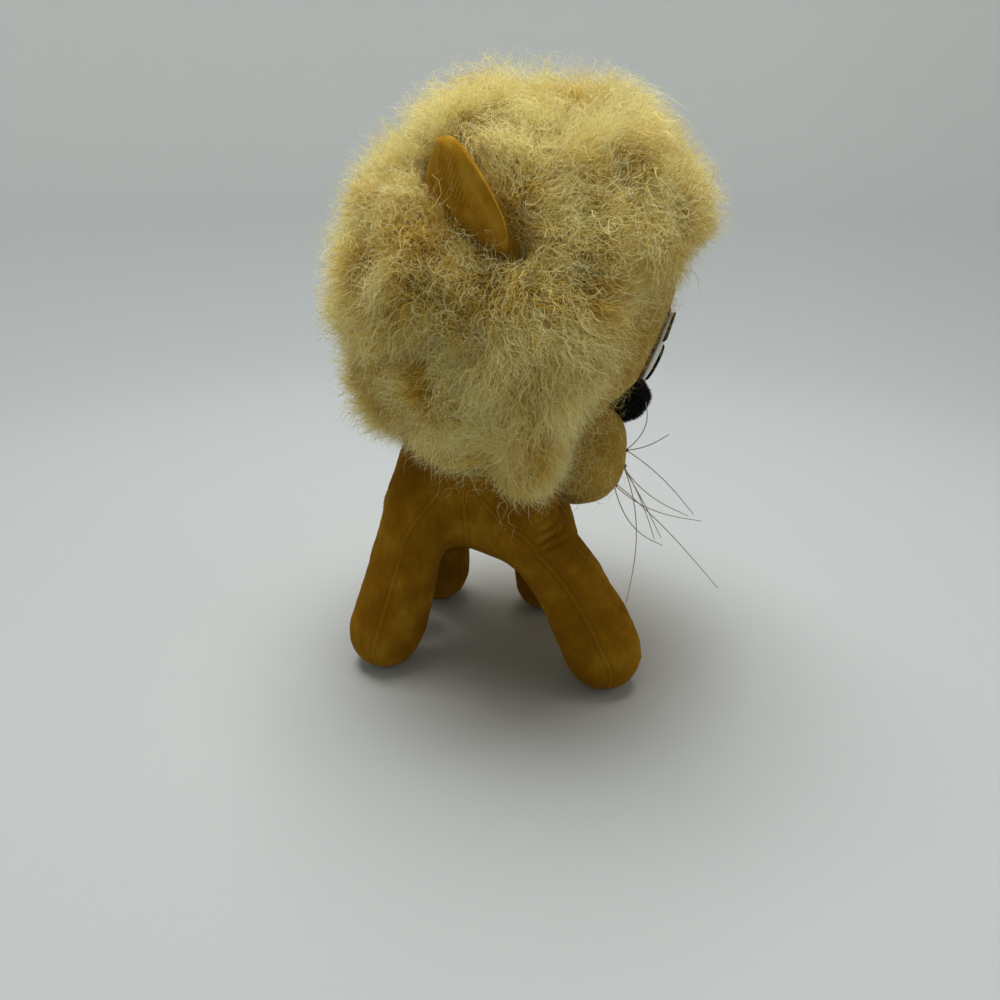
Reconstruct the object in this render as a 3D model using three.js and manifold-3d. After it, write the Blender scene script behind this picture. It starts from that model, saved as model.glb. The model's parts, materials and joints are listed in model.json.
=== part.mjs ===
// A small plush lion: a velveteen body on four stuffed legs, with a turning head under a long-pile mane.
// Millimetres, +Z up. The lion looks along -Y and its left side is +X.
// The head is built looking straight ahead and is then turned about the upright neck pin.
import * as THREE from "three";
import { mergeVertices } from "three/addons/utils/BufferGeometryUtils.js";
import Module from "manifold-3d";

const wasm = await Module();
wasm.setup();

// Clearances
const SEAT_GAP = 0.3; // between two pieces that are sewn or glued together
const RUNNING_GAP = 0.3; // round the neck pin
const OVERRUN = 20; // how far a cutting shape runs past what it cuts
const SOLE_DEPTH = 0.5; // how deep each foot is pressed flat

// Torso
const TORSO_HALF_WIDTH = 22;
const TORSO_HALF_LENGTH = 26.5;
const TORSO_HALF_HEIGHT = 19.5;
const TORSO_MIDDLE_Y = 6.5;
const TORSO_MIDDLE_Z = 62.5;
const NECK_SEAT_Z = 80.3; // the flat top of the torso, where the head turns
const NECK_Y = 2; // the neck pin stands here, on the middle plane

// Legs: each axis runs from the root inside the torso to the middle of the foot
const LEG_ROOT_X = 15;
const LEG_UPPER_X = 17.2;
const LEG_LOWER_X = 20.2;
const FOOT_X = 22.5;
const FRONT_ROOT_FORWARD = 7;
const FRONT_ROOT_Z = 53;
const HIND_ROOT_Y = 22;
const HIND_ROOT_Z = 60;
const LEG_UPPER_Z = 42;
const LEG_LOWER_Z = 27.5;
const STRIDE_LENGTH = 37.5; // how far the foot that steps furthest forward is from the middle
const LEG_ROOT_RADIUS = 10.6;
const LEG_UPPER_RADIUS = 10.8;
const LEG_LOWER_RADIUS = 11.2;
const FOOT_RADIUS = 12;

// Tail
const TAIL_ROOT_Y = 34.4; // the round end of the tail turns here, in a dimple in the rump
const TAIL_ROOT_Z = 56;
const TAIL_CREST_Y = 37.2;
const TAIL_CREST_Z = 50;
const TAIL_DROP_Y = 37.2;
const TAIL_DROP_Z = 41;
const TAIL_END_Y = 34.5;
const TAIL_END_Z = 27;
const TAIL_RADIUS = 3.2;
const TUFT_Y = 33.5;
const TUFT_Z = 19;
const TUFT_RADIUS = 6;
const TUFT_HALF_HEIGHT = 9.5;

// Neck swivel: a disc in the torso and one in the head, pulled together by a pin with bent ends
const HEAD_SEAT_GAP = 0.5; // between the cloth of the torso and the cloth of the head
const NECK_CLOTH = 1.6;
const DISC_RADIUS = 10;
const DISC_THICKNESS = 2;
const WASHER_RADIUS = 4;
const WASHER_THICKNESS = 0.8;
const PIN_RADIUS = 1;
const PIN_END_RADIUS = 2.4;
const PIN_END_LENGTH = 1.6;

// Head ball, on the head's own middle plane; forward is measured from the neck pin
const HEAD_TURN_DEGREES = 22; // towards the lion's left, as it stands
const HEAD_FORWARD = 8;
const HEAD_MIDDLE_Z = 121;
const HEAD_HALF_LENGTH = 44;
const HEAD_HALF_WIDTH = 42;
const HEAD_HALF_HEIGHT = 44;

// Muzzle and nose
const MUZZLE_FORWARD = 29;
const MUZZLE_MIDDLE_Z = 69;
const MUZZLE_HALF_DEPTH = 15;
const MUZZLE_HALF_WIDTH = 18.5;
const MUZZLE_HALF_HEIGHT = 18.5;
const NOSE_FORWARD = 44;
const NOSE_MIDDLE_Z = 85;
const NOSE_HALF_DEPTH = 9.5;
const NOSE_HALF_WIDTH = 8.5;
const NOSE_HALF_HEIGHT = 8.5;
const CHEST_CLEARANCE_RADIUS = 30.5; // the back of the muzzle keeps this far from the neck pin
const CHEST_CLEARANCE_TOP_RADIUS = 22;
const CHEST_CLEARANCE_SHOULDER_Z = 72;

// Mane
const MANE_FORWARD = 9.5;
const MANE_MIDDLE_Z = 121;
const MANE_HALF_LENGTH = 53.0;
const MANE_HALF_WIDTH = 50.0;
const MANE_HALF_HEIGHT = 53.0;
const MANE_SQUARENESS = 2;
const MANE_LOWER_SQUARENESS = 2.9; // the mane hangs fuller below its middle
const MANE_LOCK_RISE_SHARE = 0.04;
const MANE_LOCKS_AROUND = 10;
const MANE_LOCKS_UP = 6;
const MANE_HEM_RADIUS = 35; // the mane hangs outside this radius round the neck pin
const MANE_HEM_CLEARANCE = 3; // above the flat top of the torso
const FACE_FORWARD = 95; // the mane is scooped away from the face by a wide round shape in front of it
const FACE_MIDDLE_Z = 80;
const FACE_HALF_DEPTH = 70;
const FACE_HALF_WIDTH = 130;
const FACE_HALF_HEIGHT = 62;
const FACE_CLEARANCE = 0.8; // between the pile and the pieces on the face

// Eyes: felt shapes glued in layers on the curve of the head
const FELT_THICKNESS = 1;
const EYE_SIDE = 14;
const EYE_MIDDLE_Z = 106;
const EYE_HALF_WIDTH = 8;
const EYE_HALF_HEIGHT = 9;
const EYE_RIM = 1.4;
const LID_EDGE_Z = 107;
const PUPIL_SIDE = 13;
const PUPIL_MIDDLE_Z = 101.5;
const PUPIL_HALF_WIDTH = 4.4;
const PUPIL_HALF_HEIGHT = 4.6;

// Ears: a cupped back with a lining in front of it
const EAR_FOOT_Y = 15.5; // the middle of the seam on the head
const EAR_FOOT_SIDE = 31;
const EAR_FOOT_Z = 144.5;
const EAR_TILT_DEGREES = 28; // each ear stands out from the head this much above level
const EAR_SWEEP_DEGREES = 2; // and this much forward of straight out
const EAR_WIDTH = 32;
const EAR_HEIGHT = 22;
const EAR_END_HEIGHT = 5;
const EAR_CUP_DEPTH = 7;
const EAR_BURIED = 8;
const EAR_BACK_THICKNESS = 1.7;
const EAR_LINING_THICKNESS = 1.2;
const EAR_LEAN_FORWARD = 14.4; // the seam runs down and forward by these two
const EAR_LEAN_DOWN = 25.5;
const EAR_POCKET_GAP = 0.8; // between the ear and the pile round it

// Whiskers
const WHISKER_RADIUS = 0.3;
const WHISKER_KNOT_RADIUS = 1;
const WHISKER_REACH = 40;

const VELVETEEN = { color: 0x8f6a1f, roughness: 0.85, metalness: 0 };
const FACE_VELVETEEN = { color: 0xa8823c, roughness: 0.85, metalness: 0 };
const PILE = { color: 0xcbb465, roughness: 0.7, metalness: 0 };
const BLACK_FELT = { color: 0x0b0b0c, roughness: 0.95, metalness: 0 };
const BROWN_FELT = { color: 0x5b3a22, roughness: 0.95, metalness: 0 };
const WHITE_FELT = { color: 0xe4e4dc, roughness: 0.95, metalness: 0 };
const NYLON = { color: 0x77795f, roughness: 0.35, metalness: 0 };
const FIBREBOARD = { color: 0x7a5b3c, roughness: 0.8, metalness: 0 };
const STEEL = { color: 0x9a9a98, roughness: 0.35, metalness: 1 };

const WELD_DISTANCE = 1e-4;
const RIGHT = -1;
const LEFT = 1;
const HANDS = [
  ["right", RIGHT],
  ["left", LEFT],
];

// The lion walks: how far back of the middle each leg passes as shares of the step reach.
// The legs of its right side are furthest apart.
const STEP_SHARES = {
  front_right_leg: { upper: -0.507, lower: -0.787, foot: -1 },
  front_left_leg: { upper: -0.307, lower: -0.387, foot: -0.387 },
  hind_right_leg: { upper: 0.715, lower: 0.821, foot: 0.944 },
  hind_left_leg: { upper: 0.667, lower: 0.728, foot: 0.76 },
};

// A closed three.js geometry as a solid that can be cut and joined.
function solidOf(geometry) {
  const bare = geometry.clone();
  bare.deleteAttribute("normal");
  bare.deleteAttribute("uv");
  const merged = mergeVertices(bare, WELD_DISTANCE);
  return new wasm.Manifold(
    new wasm.Mesh({
      numProp: 3,
      vertProperties: merged.attributes.position.array,
      triVerts: new Uint32Array(merged.index.array),
    }),
  );
}

function geometryOf(solid) {
  const mesh = solid.getMesh();
  const geometry = new THREE.BufferGeometry();
  geometry.setAttribute("position", new THREE.BufferAttribute(mesh.vertProperties, 3));
  geometry.setIndex(new THREE.BufferAttribute(mesh.triVerts, 1));
  geometry.computeVertexNormals();
  return geometry;
}

function signedVolume(points, faces) {
  const [a, b, c] = [new THREE.Vector3(), new THREE.Vector3(), new THREE.Vector3()];
  let volume = 0;
  for (let i = 0; i < faces.length; i += 3) {
    a.copy(points[faces[i]]);
    b.copy(points[faces[i + 1]]);
    c.copy(points[faces[i + 2]]);
    volume += a.dot(b.cross(c));
  }
  return volume;
}

// A solid from points and triangles that close on themselves, turned to face outwards.
function closedSolid(points, faces) {
  const outward = signedVolume(points, faces) > 0 ? faces : faces.toReversed();
  const geometry = new THREE.BufferGeometry().setFromPoints(points);
  geometry.setIndex(outward);
  return solidOf(geometry);
}

// A solid skinned over rings of points, closed by a pole at each end.
function ringSolid(rings, firstPole, lastPole) {
  const sides = rings[0].length;
  const points = [...rings.flat(), firstPole, lastPole];
  const firstIndex = rings.length * sides;
  const lastIndex = firstIndex + 1;
  const faces = [];
  for (let j = 0; j < sides; j += 1) {
    const k = (j + 1) % sides;
    faces.push(firstIndex, k, j);
    faces.push(lastIndex, (rings.length - 1) * sides + j, (rings.length - 1) * sides + k);
    for (let i = 0; i + 1 < rings.length; i += 1) {
      const low = i * sides;
      const high = low + sides;
      faces.push(low + j, low + k, high + k);
      faces.push(low + j, high + k, high + j);
    }
  }
  return closedSolid(points, faces);
}

// A rounded body about a middle point. A squareness of 2 gives an ellipsoid, and more fills its corners.
// The rise adds shallow locks that wind up the body.
function blob(middle, half, shape) {
  const { sides, rings, squareness = 2, below = squareness, rise = 0, around = 0, up = 0 } = shape;
  const bend = (value, power) => Math.sign(value) * Math.abs(value) ** (2 / power);
  const point = (turn, climb) => {
    const power = climb < 0 ? below : squareness;
    const swell = 1 + rise * Math.cos(climb) * Math.cos(around * turn + up * climb);
    return new THREE.Vector3(
      middle.x + half.x * swell * bend(Math.cos(climb), power) * bend(Math.cos(turn), squareness),
      middle.y + half.y * swell * bend(Math.cos(climb), power) * bend(Math.sin(turn), squareness),
      middle.z + half.z * swell * bend(Math.sin(climb), power),
    );
  };
  const skins = [];
  for (let i = 1; i < rings; i += 1) {
    const climb = Math.PI * (i / rings - 1 / 2);
    skins.push(Array.from({ length: sides }, (_, j) => point((2 * Math.PI * j) / sides, climb)));
  }
  return ringSolid(skins, point(0, -Math.PI / 2), point(0, Math.PI / 2));
}

// A stuffed limb with round ends along a smooth line, with a radius given at each of its points.
function limb(points, radii, { sides, steps, capRings }) {
  const line = new THREE.CatmullRomCurve3(points);
  const width = new THREE.CatmullRomCurve3(radii.map((radius) => new THREE.Vector3(radius, 0, 0)));
  const frames = line.computeFrenetFrames(steps, false);
  const ring = (i, radiusShare, endShift) => {
    const radius = width.getPoint(i / steps).x;
    const centre = line.getPointAt(i / steps);
    centre.addScaledVector(frames.tangents[i], endShift * radius);
    return Array.from({ length: sides }, (_, j) => {
      const turn = (2 * Math.PI * j) / sides;
      return centre
        .clone()
        .addScaledVector(frames.normals[i], radius * radiusShare * Math.cos(turn))
        .addScaledVector(frames.binormals[i], radius * radiusShare * Math.sin(turn));
    });
  };
  const pole = (i, way) => {
    const reach = way * width.getPoint(i / steps).x;
    return line.getPointAt(i / steps).addScaledVector(frames.tangents[i], reach);
  };
  const rings = [];
  for (let c = capRings; c > 0; c -= 1) {
    const lean = (Math.PI / 2) * (c / (capRings + 1));
    rings.push(ring(0, Math.cos(lean), -Math.sin(lean)));
  }
  for (let i = 0; i <= steps; i += 1) rings.push(ring(i, 1, 0));
  for (let c = 1; c <= capRings; c += 1) {
    const lean = (Math.PI / 2) * (c / (capRings + 1));
    rings.push(ring(steps, Math.cos(lean), Math.sin(lean)));
  }
  return ringSolid(rings, pole(0, -1), pole(steps, 1));
}

// A round solid about an upright line, from a profile of [radius, height] pairs that starts and ends on it.
function turned(profile, x, y, sides) {
  const geometry = new THREE.LatheGeometry(
    profile.map(([radius, height]) => new THREE.Vector2(radius, height)),
    sides,
  );
  geometry.rotateX(Math.PI / 2);
  geometry.translate(x, y, 0);
  return solidOf(geometry);
}

function drum(radius, low, high, y = 0, sides = 24) {
  const profile = [
    [0, low],
    [radius, low],
    [radius, high],
    [0, high],
  ];
  return turned(profile, 0, y, sides);
}

function ballAt(radius, middle, sides = 16) {
  const geometry = new THREE.SphereGeometry(radius, sides, sides / 2);
  geometry.translate(middle.x, middle.y, middle.z);
  return solidOf(geometry);
}

// Everything below a height, as a box that reaches past the whole lion.
function groundBelow(height) {
  const width = 2 * (MANE_HALF_LENGTH + MANE_HALF_WIDTH);
  const depth = MANE_HALF_HEIGHT + OVERRUN;
  const geometry = new THREE.BoxGeometry(width, width, depth);
  geometry.translate(0, 0, height - depth / 2);
  return solidOf(geometry);
}

// A sheet of one thickness from a surface function of two shares, closed round its edge.
function sheet(surface, thickness, offset) {
  const across = 12;
  const along = 6;
  const step = 1e-3;
  const layer = (distance) => {
    const points = [];
    for (let i = 0; i <= across; i += 1) {
      for (let j = 0; j <= along; j += 1) {
        const u = i / across;
        const v = j / along;
        const here = surface(u, v);
        const sideways = surface(u + step, v).sub(surface(u - step, v));
        const outwards = surface(u, v + step).sub(surface(u, v - step));
        points.push(here.addScaledVector(sideways.cross(outwards).normalize(), distance));
      }
    }
    return points;
  };
  const points = [...layer(offset), ...layer(offset + thickness)];
  const count = (across + 1) * (along + 1);
  const index = (i, j) => i * (along + 1) + j;
  const faces = [];
  const quad = (a, b, c, d) => faces.push(a, b, c, a, c, d);
  for (let i = 0; i < across; i += 1) {
    for (let j = 0; j < along; j += 1) {
      const corners = [index(i, j), index(i, j + 1), index(i + 1, j + 1), index(i + 1, j)];
      quad(...corners);
      quad(...corners.toReversed().map((corner) => corner + count));
    }
  }
  const wall = (a, b) => quad(b, a, a + count, b + count);
  for (let i = 0; i < across; i += 1) {
    wall(index(i + 1, 0), index(i, 0));
    wall(index(i, along), index(i + 1, along));
  }
  for (let j = 0; j < along; j += 1) {
    wall(index(0, j), index(0, j + 1));
    wall(index(across, j + 1), index(across, j));
  }
  return closedSolid(points, faces);
}

const at = (x, y, z) => new THREE.Vector3(x, y, z);

// Torso with its round form grown by a gap, so that neighbours can be cut to it.
function torsoForm(gap = 0) {
  const half = at(TORSO_HALF_WIDTH + gap, TORSO_HALF_LENGTH + gap, TORSO_HALF_HEIGHT + gap);
  const middle = at(0, TORSO_MIDDLE_Y, TORSO_MIDDLE_Z);
  return blob(middle, half, { sides: 28, rings: 16, squareness: 2.3 });
}

const washerLowZ = NECK_SEAT_Z - NECK_CLOTH - DISC_THICKNESS - WASHER_THICKNESS - 2 * SEAT_GAP;
const headSeatZ = NECK_SEAT_Z + HEAD_SEAT_GAP;
const upperDiscZ = headSeatZ + NECK_CLOTH + SEAT_GAP;
const upperWasherZ = upperDiscZ + DISC_THICKNESS + SEAT_GAP;
const pinLowZ = washerLowZ - SEAT_GAP - PIN_END_LENGTH;
const pinHighZ = upperWasherZ + WASHER_THICKNESS + SEAT_GAP + PIN_END_LENGTH;

function makeTorso() {
  const topRadius = TORSO_HALF_LENGTH + OVERRUN;
  const top = drum(topRadius, NECK_SEAT_Z, NECK_SEAT_Z + OVERRUN, TORSO_MIDDLE_Y);
  const pocketTop = NECK_SEAT_Z - NECK_CLOTH;
  const pocket = drum(DISC_RADIUS + SEAT_GAP, pinLowZ - SEAT_GAP, pocketTop, NECK_Y);
  const hole = drum(PIN_RADIUS + RUNNING_GAP, pinLowZ, NECK_SEAT_Z + OVERRUN, NECK_Y);
  const dimple = ballAt(TAIL_RADIUS + RUNNING_GAP, at(0, TAIL_ROOT_Y, TAIL_ROOT_Z));
  return torsoForm().subtract(top).subtract(pocket).subtract(hole).subtract(dimple);
}

function makeLeg(side, rootY, rootZ, stepShares) {
  const axis = [
    at(side * LEG_ROOT_X, rootY, rootZ),
    at(side * LEG_UPPER_X, stepShares.upper * STRIDE_LENGTH, LEG_UPPER_Z),
    at(side * LEG_LOWER_X, stepShares.lower * STRIDE_LENGTH, LEG_LOWER_Z),
    at(side * FOOT_X, stepShares.foot * STRIDE_LENGTH, FOOT_RADIUS - SOLE_DEPTH),
  ];
  const radii = [LEG_ROOT_RADIUS, LEG_UPPER_RADIUS, LEG_LOWER_RADIUS, FOOT_RADIUS];
  const form = limb(axis, radii, { sides: 18, steps: 8, capRings: 4 });
  return form.subtract(torsoForm(SEAT_GAP)).subtract(groundBelow(0));
}

function tailTuftForm(gap = 0) {
  const half = at(TUFT_RADIUS + gap, TUFT_RADIUS + gap, TUFT_HALF_HEIGHT + gap);
  return blob(at(0, TUFT_Y, TUFT_Z), half, { sides: 16, rings: 10 });
}

function makeTail() {
  const axis = [
    at(0, TAIL_ROOT_Y, TAIL_ROOT_Z),
    at(0, TAIL_CREST_Y, TAIL_CREST_Z),
    at(0, TAIL_DROP_Y, TAIL_DROP_Z),
    at(0, TAIL_END_Y, TAIL_END_Z),
  ];
  const radii = axis.map(() => TAIL_RADIUS);
  return limb(axis, radii, { sides: 12, steps: 8, capRings: 3 }).subtract(tailTuftForm(SEAT_GAP));
}

function makeDisc(low, y) {
  const hole = drum(PIN_RADIUS + RUNNING_GAP, low - OVERRUN, low + OVERRUN, y);
  return drum(DISC_RADIUS, low, low + DISC_THICKNESS, y).subtract(hole);
}

function makeWasher(low, y) {
  const hole = drum(PIN_RADIUS + RUNNING_GAP, low - OVERRUN, low + OVERRUN, y);
  return drum(WASHER_RADIUS, low, low + WASHER_THICKNESS, y).subtract(hole);
}

function makeNeckPin() {
  const profile = [
    [0, pinLowZ],
    [PIN_END_RADIUS, pinLowZ],
    [PIN_END_RADIUS, pinLowZ + PIN_END_LENGTH],
    [PIN_RADIUS, pinLowZ + PIN_END_LENGTH],
    [PIN_RADIUS, pinHighZ - PIN_END_LENGTH],
    [PIN_END_RADIUS, pinHighZ - PIN_END_LENGTH],
    [PIN_END_RADIUS, pinHighZ],
    [0, pinHighZ],
  ];
  return turned(profile, 0, NECK_Y, 16);
}

// The head's pieces are built here about the neck pin, looking along -Y.
function headForm(gap = 0) {
  const half = at(HEAD_HALF_WIDTH + gap, HEAD_HALF_LENGTH + gap, HEAD_HALF_HEIGHT + gap);
  return blob(at(0, -HEAD_FORWARD, HEAD_MIDDLE_Z), half, { sides: 28, rings: 18 });
}

function muzzleForm(gap = 0) {
  const half = at(MUZZLE_HALF_WIDTH + gap, MUZZLE_HALF_DEPTH + gap, MUZZLE_HALF_HEIGHT + gap);
  const middle = at(0, -MUZZLE_FORWARD, MUZZLE_MIDDLE_Z);
  return blob(middle, half, { sides: 24, rings: 14, squareness: 2.1 });
}

function noseForm(gap = 0) {
  const half = at(NOSE_HALF_WIDTH + gap, NOSE_HALF_DEPTH + gap, NOSE_HALF_HEIGHT + gap);
  const middle = at(0, -NOSE_FORWARD, NOSE_MIDDLE_Z);
  return blob(middle, half, { sides: 20, rings: 12, squareness: 2.2 });
}

function makeHead() {
  const pocketLow = headSeatZ + NECK_CLOTH;
  const pocket = drum(DISC_RADIUS + SEAT_GAP, pocketLow, pinHighZ + SEAT_GAP);
  const hole = drum(PIN_RADIUS + RUNNING_GAP, headSeatZ - OVERRUN, pinHighZ);
  return headForm().subtract(groundBelow(headSeatZ)).subtract(pocket).subtract(hole);
}

// The room that the chest and shoulders take as the head turns over them.
function chestClearance() {
  const profile = [
    [0, 0],
    [CHEST_CLEARANCE_RADIUS, 0],
    [CHEST_CLEARANCE_RADIUS, CHEST_CLEARANCE_SHOULDER_Z],
    [CHEST_CLEARANCE_TOP_RADIUS, headSeatZ],
    [0, headSeatZ],
  ];
  return turned(profile, 0, 0, 48);
}

function makeMuzzle() {
  return muzzleForm().subtract(headForm(SEAT_GAP)).subtract(chestClearance());
}

function makeNose() {
  return noseForm().subtract(headForm(SEAT_GAP)).subtract(muzzleForm(SEAT_GAP));
}

// A layer of felt on the head's curve: the first layer is next to the head.
function feltLayer(outline, number) {
  const low = number * SEAT_GAP + (number - 1) * FELT_THICKNESS;
  const prism = new THREE.ExtrudeGeometry(outline, {
    depth: HEAD_HALF_LENGTH + OVERRUN,
    bevelEnabled: false,
    curveSegments: 16,
  });
  prism.rotateX(Math.PI / 2);
  prism.translate(0, -HEAD_FORWARD, 0);
  return headForm(low + FELT_THICKNESS).subtract(headForm(low)).intersect(solidOf(prism));
}

function oval(x, z, halfWidth, halfHeight) {
  const outline = new THREE.Shape();
  outline.absellipse(x, z, halfWidth, halfHeight, 0, 2 * Math.PI);
  return outline;
}

function makeEyeRim(side) {
  const halfWidth = EYE_HALF_WIDTH + EYE_RIM;
  const halfHeight = EYE_HALF_HEIGHT + EYE_RIM;
  const outline = oval(side * EYE_SIDE, EYE_MIDDLE_Z, halfWidth, halfHeight);
  return feltLayer(outline, 1).subtract(noseForm(SEAT_GAP));
}

function makeEyeWhite(side) {
  const outline = oval(side * EYE_SIDE, EYE_MIDDLE_Z, EYE_HALF_WIDTH, EYE_HALF_HEIGHT);
  return feltLayer(outline, 2).subtract(noseForm(SEAT_GAP));
}

function makeEyelid(side) {
  const outline = oval(side * EYE_SIDE, EYE_MIDDLE_Z, EYE_HALF_WIDTH, EYE_HALF_HEIGHT);
  return feltLayer(outline, 3).subtract(groundBelow(LID_EDGE_Z));
}

function makePupil(side) {
  const outline = oval(side * PUPIL_SIDE, PUPIL_MIDDLE_Z, PUPIL_HALF_WIDTH, PUPIL_HALF_HEIGHT);
  return feltLayer(outline, 3).subtract(noseForm(SEAT_GAP));
}

// The ear's own directions: along its seam, out from the head, and towards its hollow front.
function earFrame(side) {
  const foot = at(side * EAR_FOOT_SIDE, EAR_FOOT_Y, EAR_FOOT_Z);
  const tilt = THREE.MathUtils.degToRad(EAR_TILT_DEGREES);
  const sweep = THREE.MathUtils.degToRad(EAR_SWEEP_DEGREES);
  const level = Math.cos(tilt);
  const out = at(side * level * Math.cos(sweep), -level * Math.sin(sweep), Math.sin(tilt));
  const seam = at(0, EAR_LEAN_FORWARD, EAR_LEAN_DOWN);
  seam.addScaledVector(out, -seam.dot(out)).normalize();
  const front = out.clone().cross(seam).multiplyScalar(side);
  return { foot, out, seam, front };
}

function earSurface(side) {
  const { foot, out, seam, front } = earFrame(side);
  return (u, v) => {
    const along = side * (1 - 2 * u);
    const crown = Math.sqrt(Math.max(0, 1 - along ** 2));
    const height = EAR_END_HEIGHT + (EAR_HEIGHT - EAR_END_HEIGHT) * crown;
    const cup = EAR_CUP_DEPTH * (along ** 2 - 1) * (1 - (v * v) / 2);
    return foot
      .clone()
      .addScaledVector(seam, (along * EAR_WIDTH) / 2)
      .addScaledVector(out, v * height - EAR_BURIED * (1 - v))
      .addScaledVector(front, cup);
  };
}

function makeEarBack(side) {
  const layer = sheet(earSurface(side), EAR_BACK_THICKNESS, -EAR_BACK_THICKNESS);
  return layer.subtract(headForm(SEAT_GAP));
}

function makeEarLining(side) {
  const layer = sheet(earSurface(side), EAR_LINING_THICKNESS, SEAT_GAP);
  return layer.subtract(headForm(SEAT_GAP));
}

// The pocket that an ear takes in the pile.
function earPocket(side) {
  const depth = EAR_BACK_THICKNESS + EAR_POCKET_GAP;
  const thickness = depth + EAR_LINING_THICKNESS + SEAT_GAP + EAR_POCKET_GAP;
  const inner = earSurface(side);
  const roomShare = 0.06;
  const wide = (u, v) => inner(u + roomShare * (2 * u - 1), v + 2 * roomShare * v);
  return sheet(wide, thickness, -depth);
}

function makeMane() {
  const half = at(MANE_HALF_WIDTH, MANE_HALF_LENGTH, MANE_HALF_HEIGHT);
  const form = blob(at(0, -MANE_FORWARD, MANE_MIDDLE_Z), half, {
    sides: 45,
    rings: 20,
    squareness: MANE_SQUARENESS,
    below: MANE_LOWER_SQUARENESS,
    rise: MANE_LOCK_RISE_SHARE,
    around: MANE_LOCKS_AROUND,
    up: MANE_LOCKS_UP,
  });
  const faceHalf = at(FACE_HALF_WIDTH, FACE_HALF_DEPTH, FACE_HALF_HEIGHT);
  const face = blob(at(0, -FACE_FORWARD, FACE_MIDDLE_Z), faceHalf, { sides: 28, rings: 16 });
  const hem = drum(MANE_HEM_RADIUS, 0, NECK_SEAT_Z + MANE_HEM_CLEARANCE);
  return form
    .subtract(face)
    .subtract(hem)
    .subtract(headForm(SEAT_GAP))
    .subtract(muzzleForm(FACE_CLEARANCE))
    .subtract(noseForm(FACE_CLEARANCE))
    .subtract(earPocket(RIGHT))
    .subtract(earPocket(LEFT));
}

// Each tuft: where its knot lies, as shares of the muzzle's half width and half height, and
// how far each whisker goes forward, outward and up, as shares of the whisker reach.
// The bow pushes the middle of a whisker forward. The left whiskers stand out to the side.
const WHISKER_SHARES = {
  right: {
    upper: {
      knot: { side: 0.486, rise: 0.054 },
      ends: [
        { forward: 0.075, outward: 0.125, up: 0.45, bow: 0.1 },
        { forward: 0.275, outward: 0.175, up: 0.175, bow: 0.025 },
        { forward: 0.55, outward: 0.2, up: -0.55, bow: 0.04 },
      ],
    },
    middle: {
      knot: { side: 0.54, rise: -0.216 },
      ends: [
        { forward: 0.475, outward: 0.25, up: -0.375, bow: -0.025 },
        { forward: 0.275, outward: 0.225, up: -0.575, bow: 0.025 },
        { forward: 0.175, outward: 0.3, up: -0.55, bow: 0.05 },
        { forward: 0.1, outward: 0, up: -1.2, bow: 0.125 },
      ],
    },
    lower: {
      knot: { side: 0.486, rise: -0.595 },
      ends: [
        { forward: 0.7, outward: 0.2, up: -0.3, bow: -0.025 },
        { forward: 0.35, outward: 0.25, up: -0.475, bow: 0.025 },
        { forward: 0.85, outward: 0.35, up: -0.9, bow: 0.025 },
      ],
    },
  },
  left: {
    upper: {
      knot: { side: 0.486, rise: 0.054 },
      ends: [
        { forward: 0.1, outward: 0.6, up: 0.3, bow: 0.05 },
        { forward: 0.05, outward: 0.75, up: -0.05, bow: 0.075 },
      ],
    },
    middle: {
      knot: { side: 0.54, rise: -0.216 },
      ends: [
        { forward: 0.15, outward: 0.7, up: -0.35, bow: 0.05 },
        { forward: 0.1, outward: 0.5, up: -0.6, bow: 0.05 },
      ],
    },
    lower: {
      knot: { side: 0.486, rise: -0.595 },
      ends: [
        { forward: 0.15, outward: 0.45, up: -0.45, bow: 0.05 },
        { forward: 0.05, outward: 0.6, up: -0.25, bow: 0.075 },
      ],
    },
  },
};

// A point on the muzzle's front, from its shares of the muzzle's half width and half height.
function muzzlePoint(side, { side: sideShare, rise: riseShare }) {
  const depthShare = Math.sqrt(1 - sideShare ** 2 - riseShare ** 2);
  return at(
    side * sideShare * MUZZLE_HALF_WIDTH,
    -(MUZZLE_FORWARD + depthShare * MUZZLE_HALF_DEPTH),
    MUZZLE_MIDDLE_Z + riseShare * MUZZLE_HALF_HEIGHT,
  );
}

function makeWhiskers(side, { knot, ends }) {
  const root = muzzlePoint(side, knot);
  let tuft = ballAt(WHISKER_KNOT_RADIUS, root, 8);
  for (const { forward, outward, up, bow } of ends) {
    const tip = root.clone().addScaledVector(at(side * outward, -forward, up), WHISKER_REACH);
    const middle = root.clone().lerp(tip, 1 / 2);
    middle.y -= bow * WHISKER_REACH;
    const line = [root, middle, tip];
    const radii = line.map(() => WHISKER_RADIUS);
    tuft = tuft.add(limb(line, radii, { sides: 4, steps: 4, capRings: 0 }));
  }
  return tuft.subtract(muzzleForm(SEAT_GAP)).subtract(noseForm(SEAT_GAP));
}

function piece(name, solid, finish) {
  const mesh = new THREE.Mesh(geometryOf(solid), new THREE.MeshStandardMaterial(finish));
  mesh.name = name;
  return mesh;
}

function bodyGroup() {
  const body = new THREE.Group();
  body.add(piece("torso", makeTorso(), VELVETEEN));
  for (const [hand, side] of HANDS) {
    const front = "front_" + hand + "_leg";
    const hind = "hind_" + hand + "_leg";
    const frontLeg = makeLeg(side, -FRONT_ROOT_FORWARD, FRONT_ROOT_Z, STEP_SHARES[front]);
    const hindLeg = makeLeg(side, HIND_ROOT_Y, HIND_ROOT_Z, STEP_SHARES[hind]);
    body.add(piece(front, frontLeg, VELVETEEN), piece(hind, hindLeg, VELVETEEN));
  }
  body.add(piece("tail", makeTail(), VELVETEEN));
  body.add(piece("tail_tuft", tailTuftForm(), PILE));
  return body;
}

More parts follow.
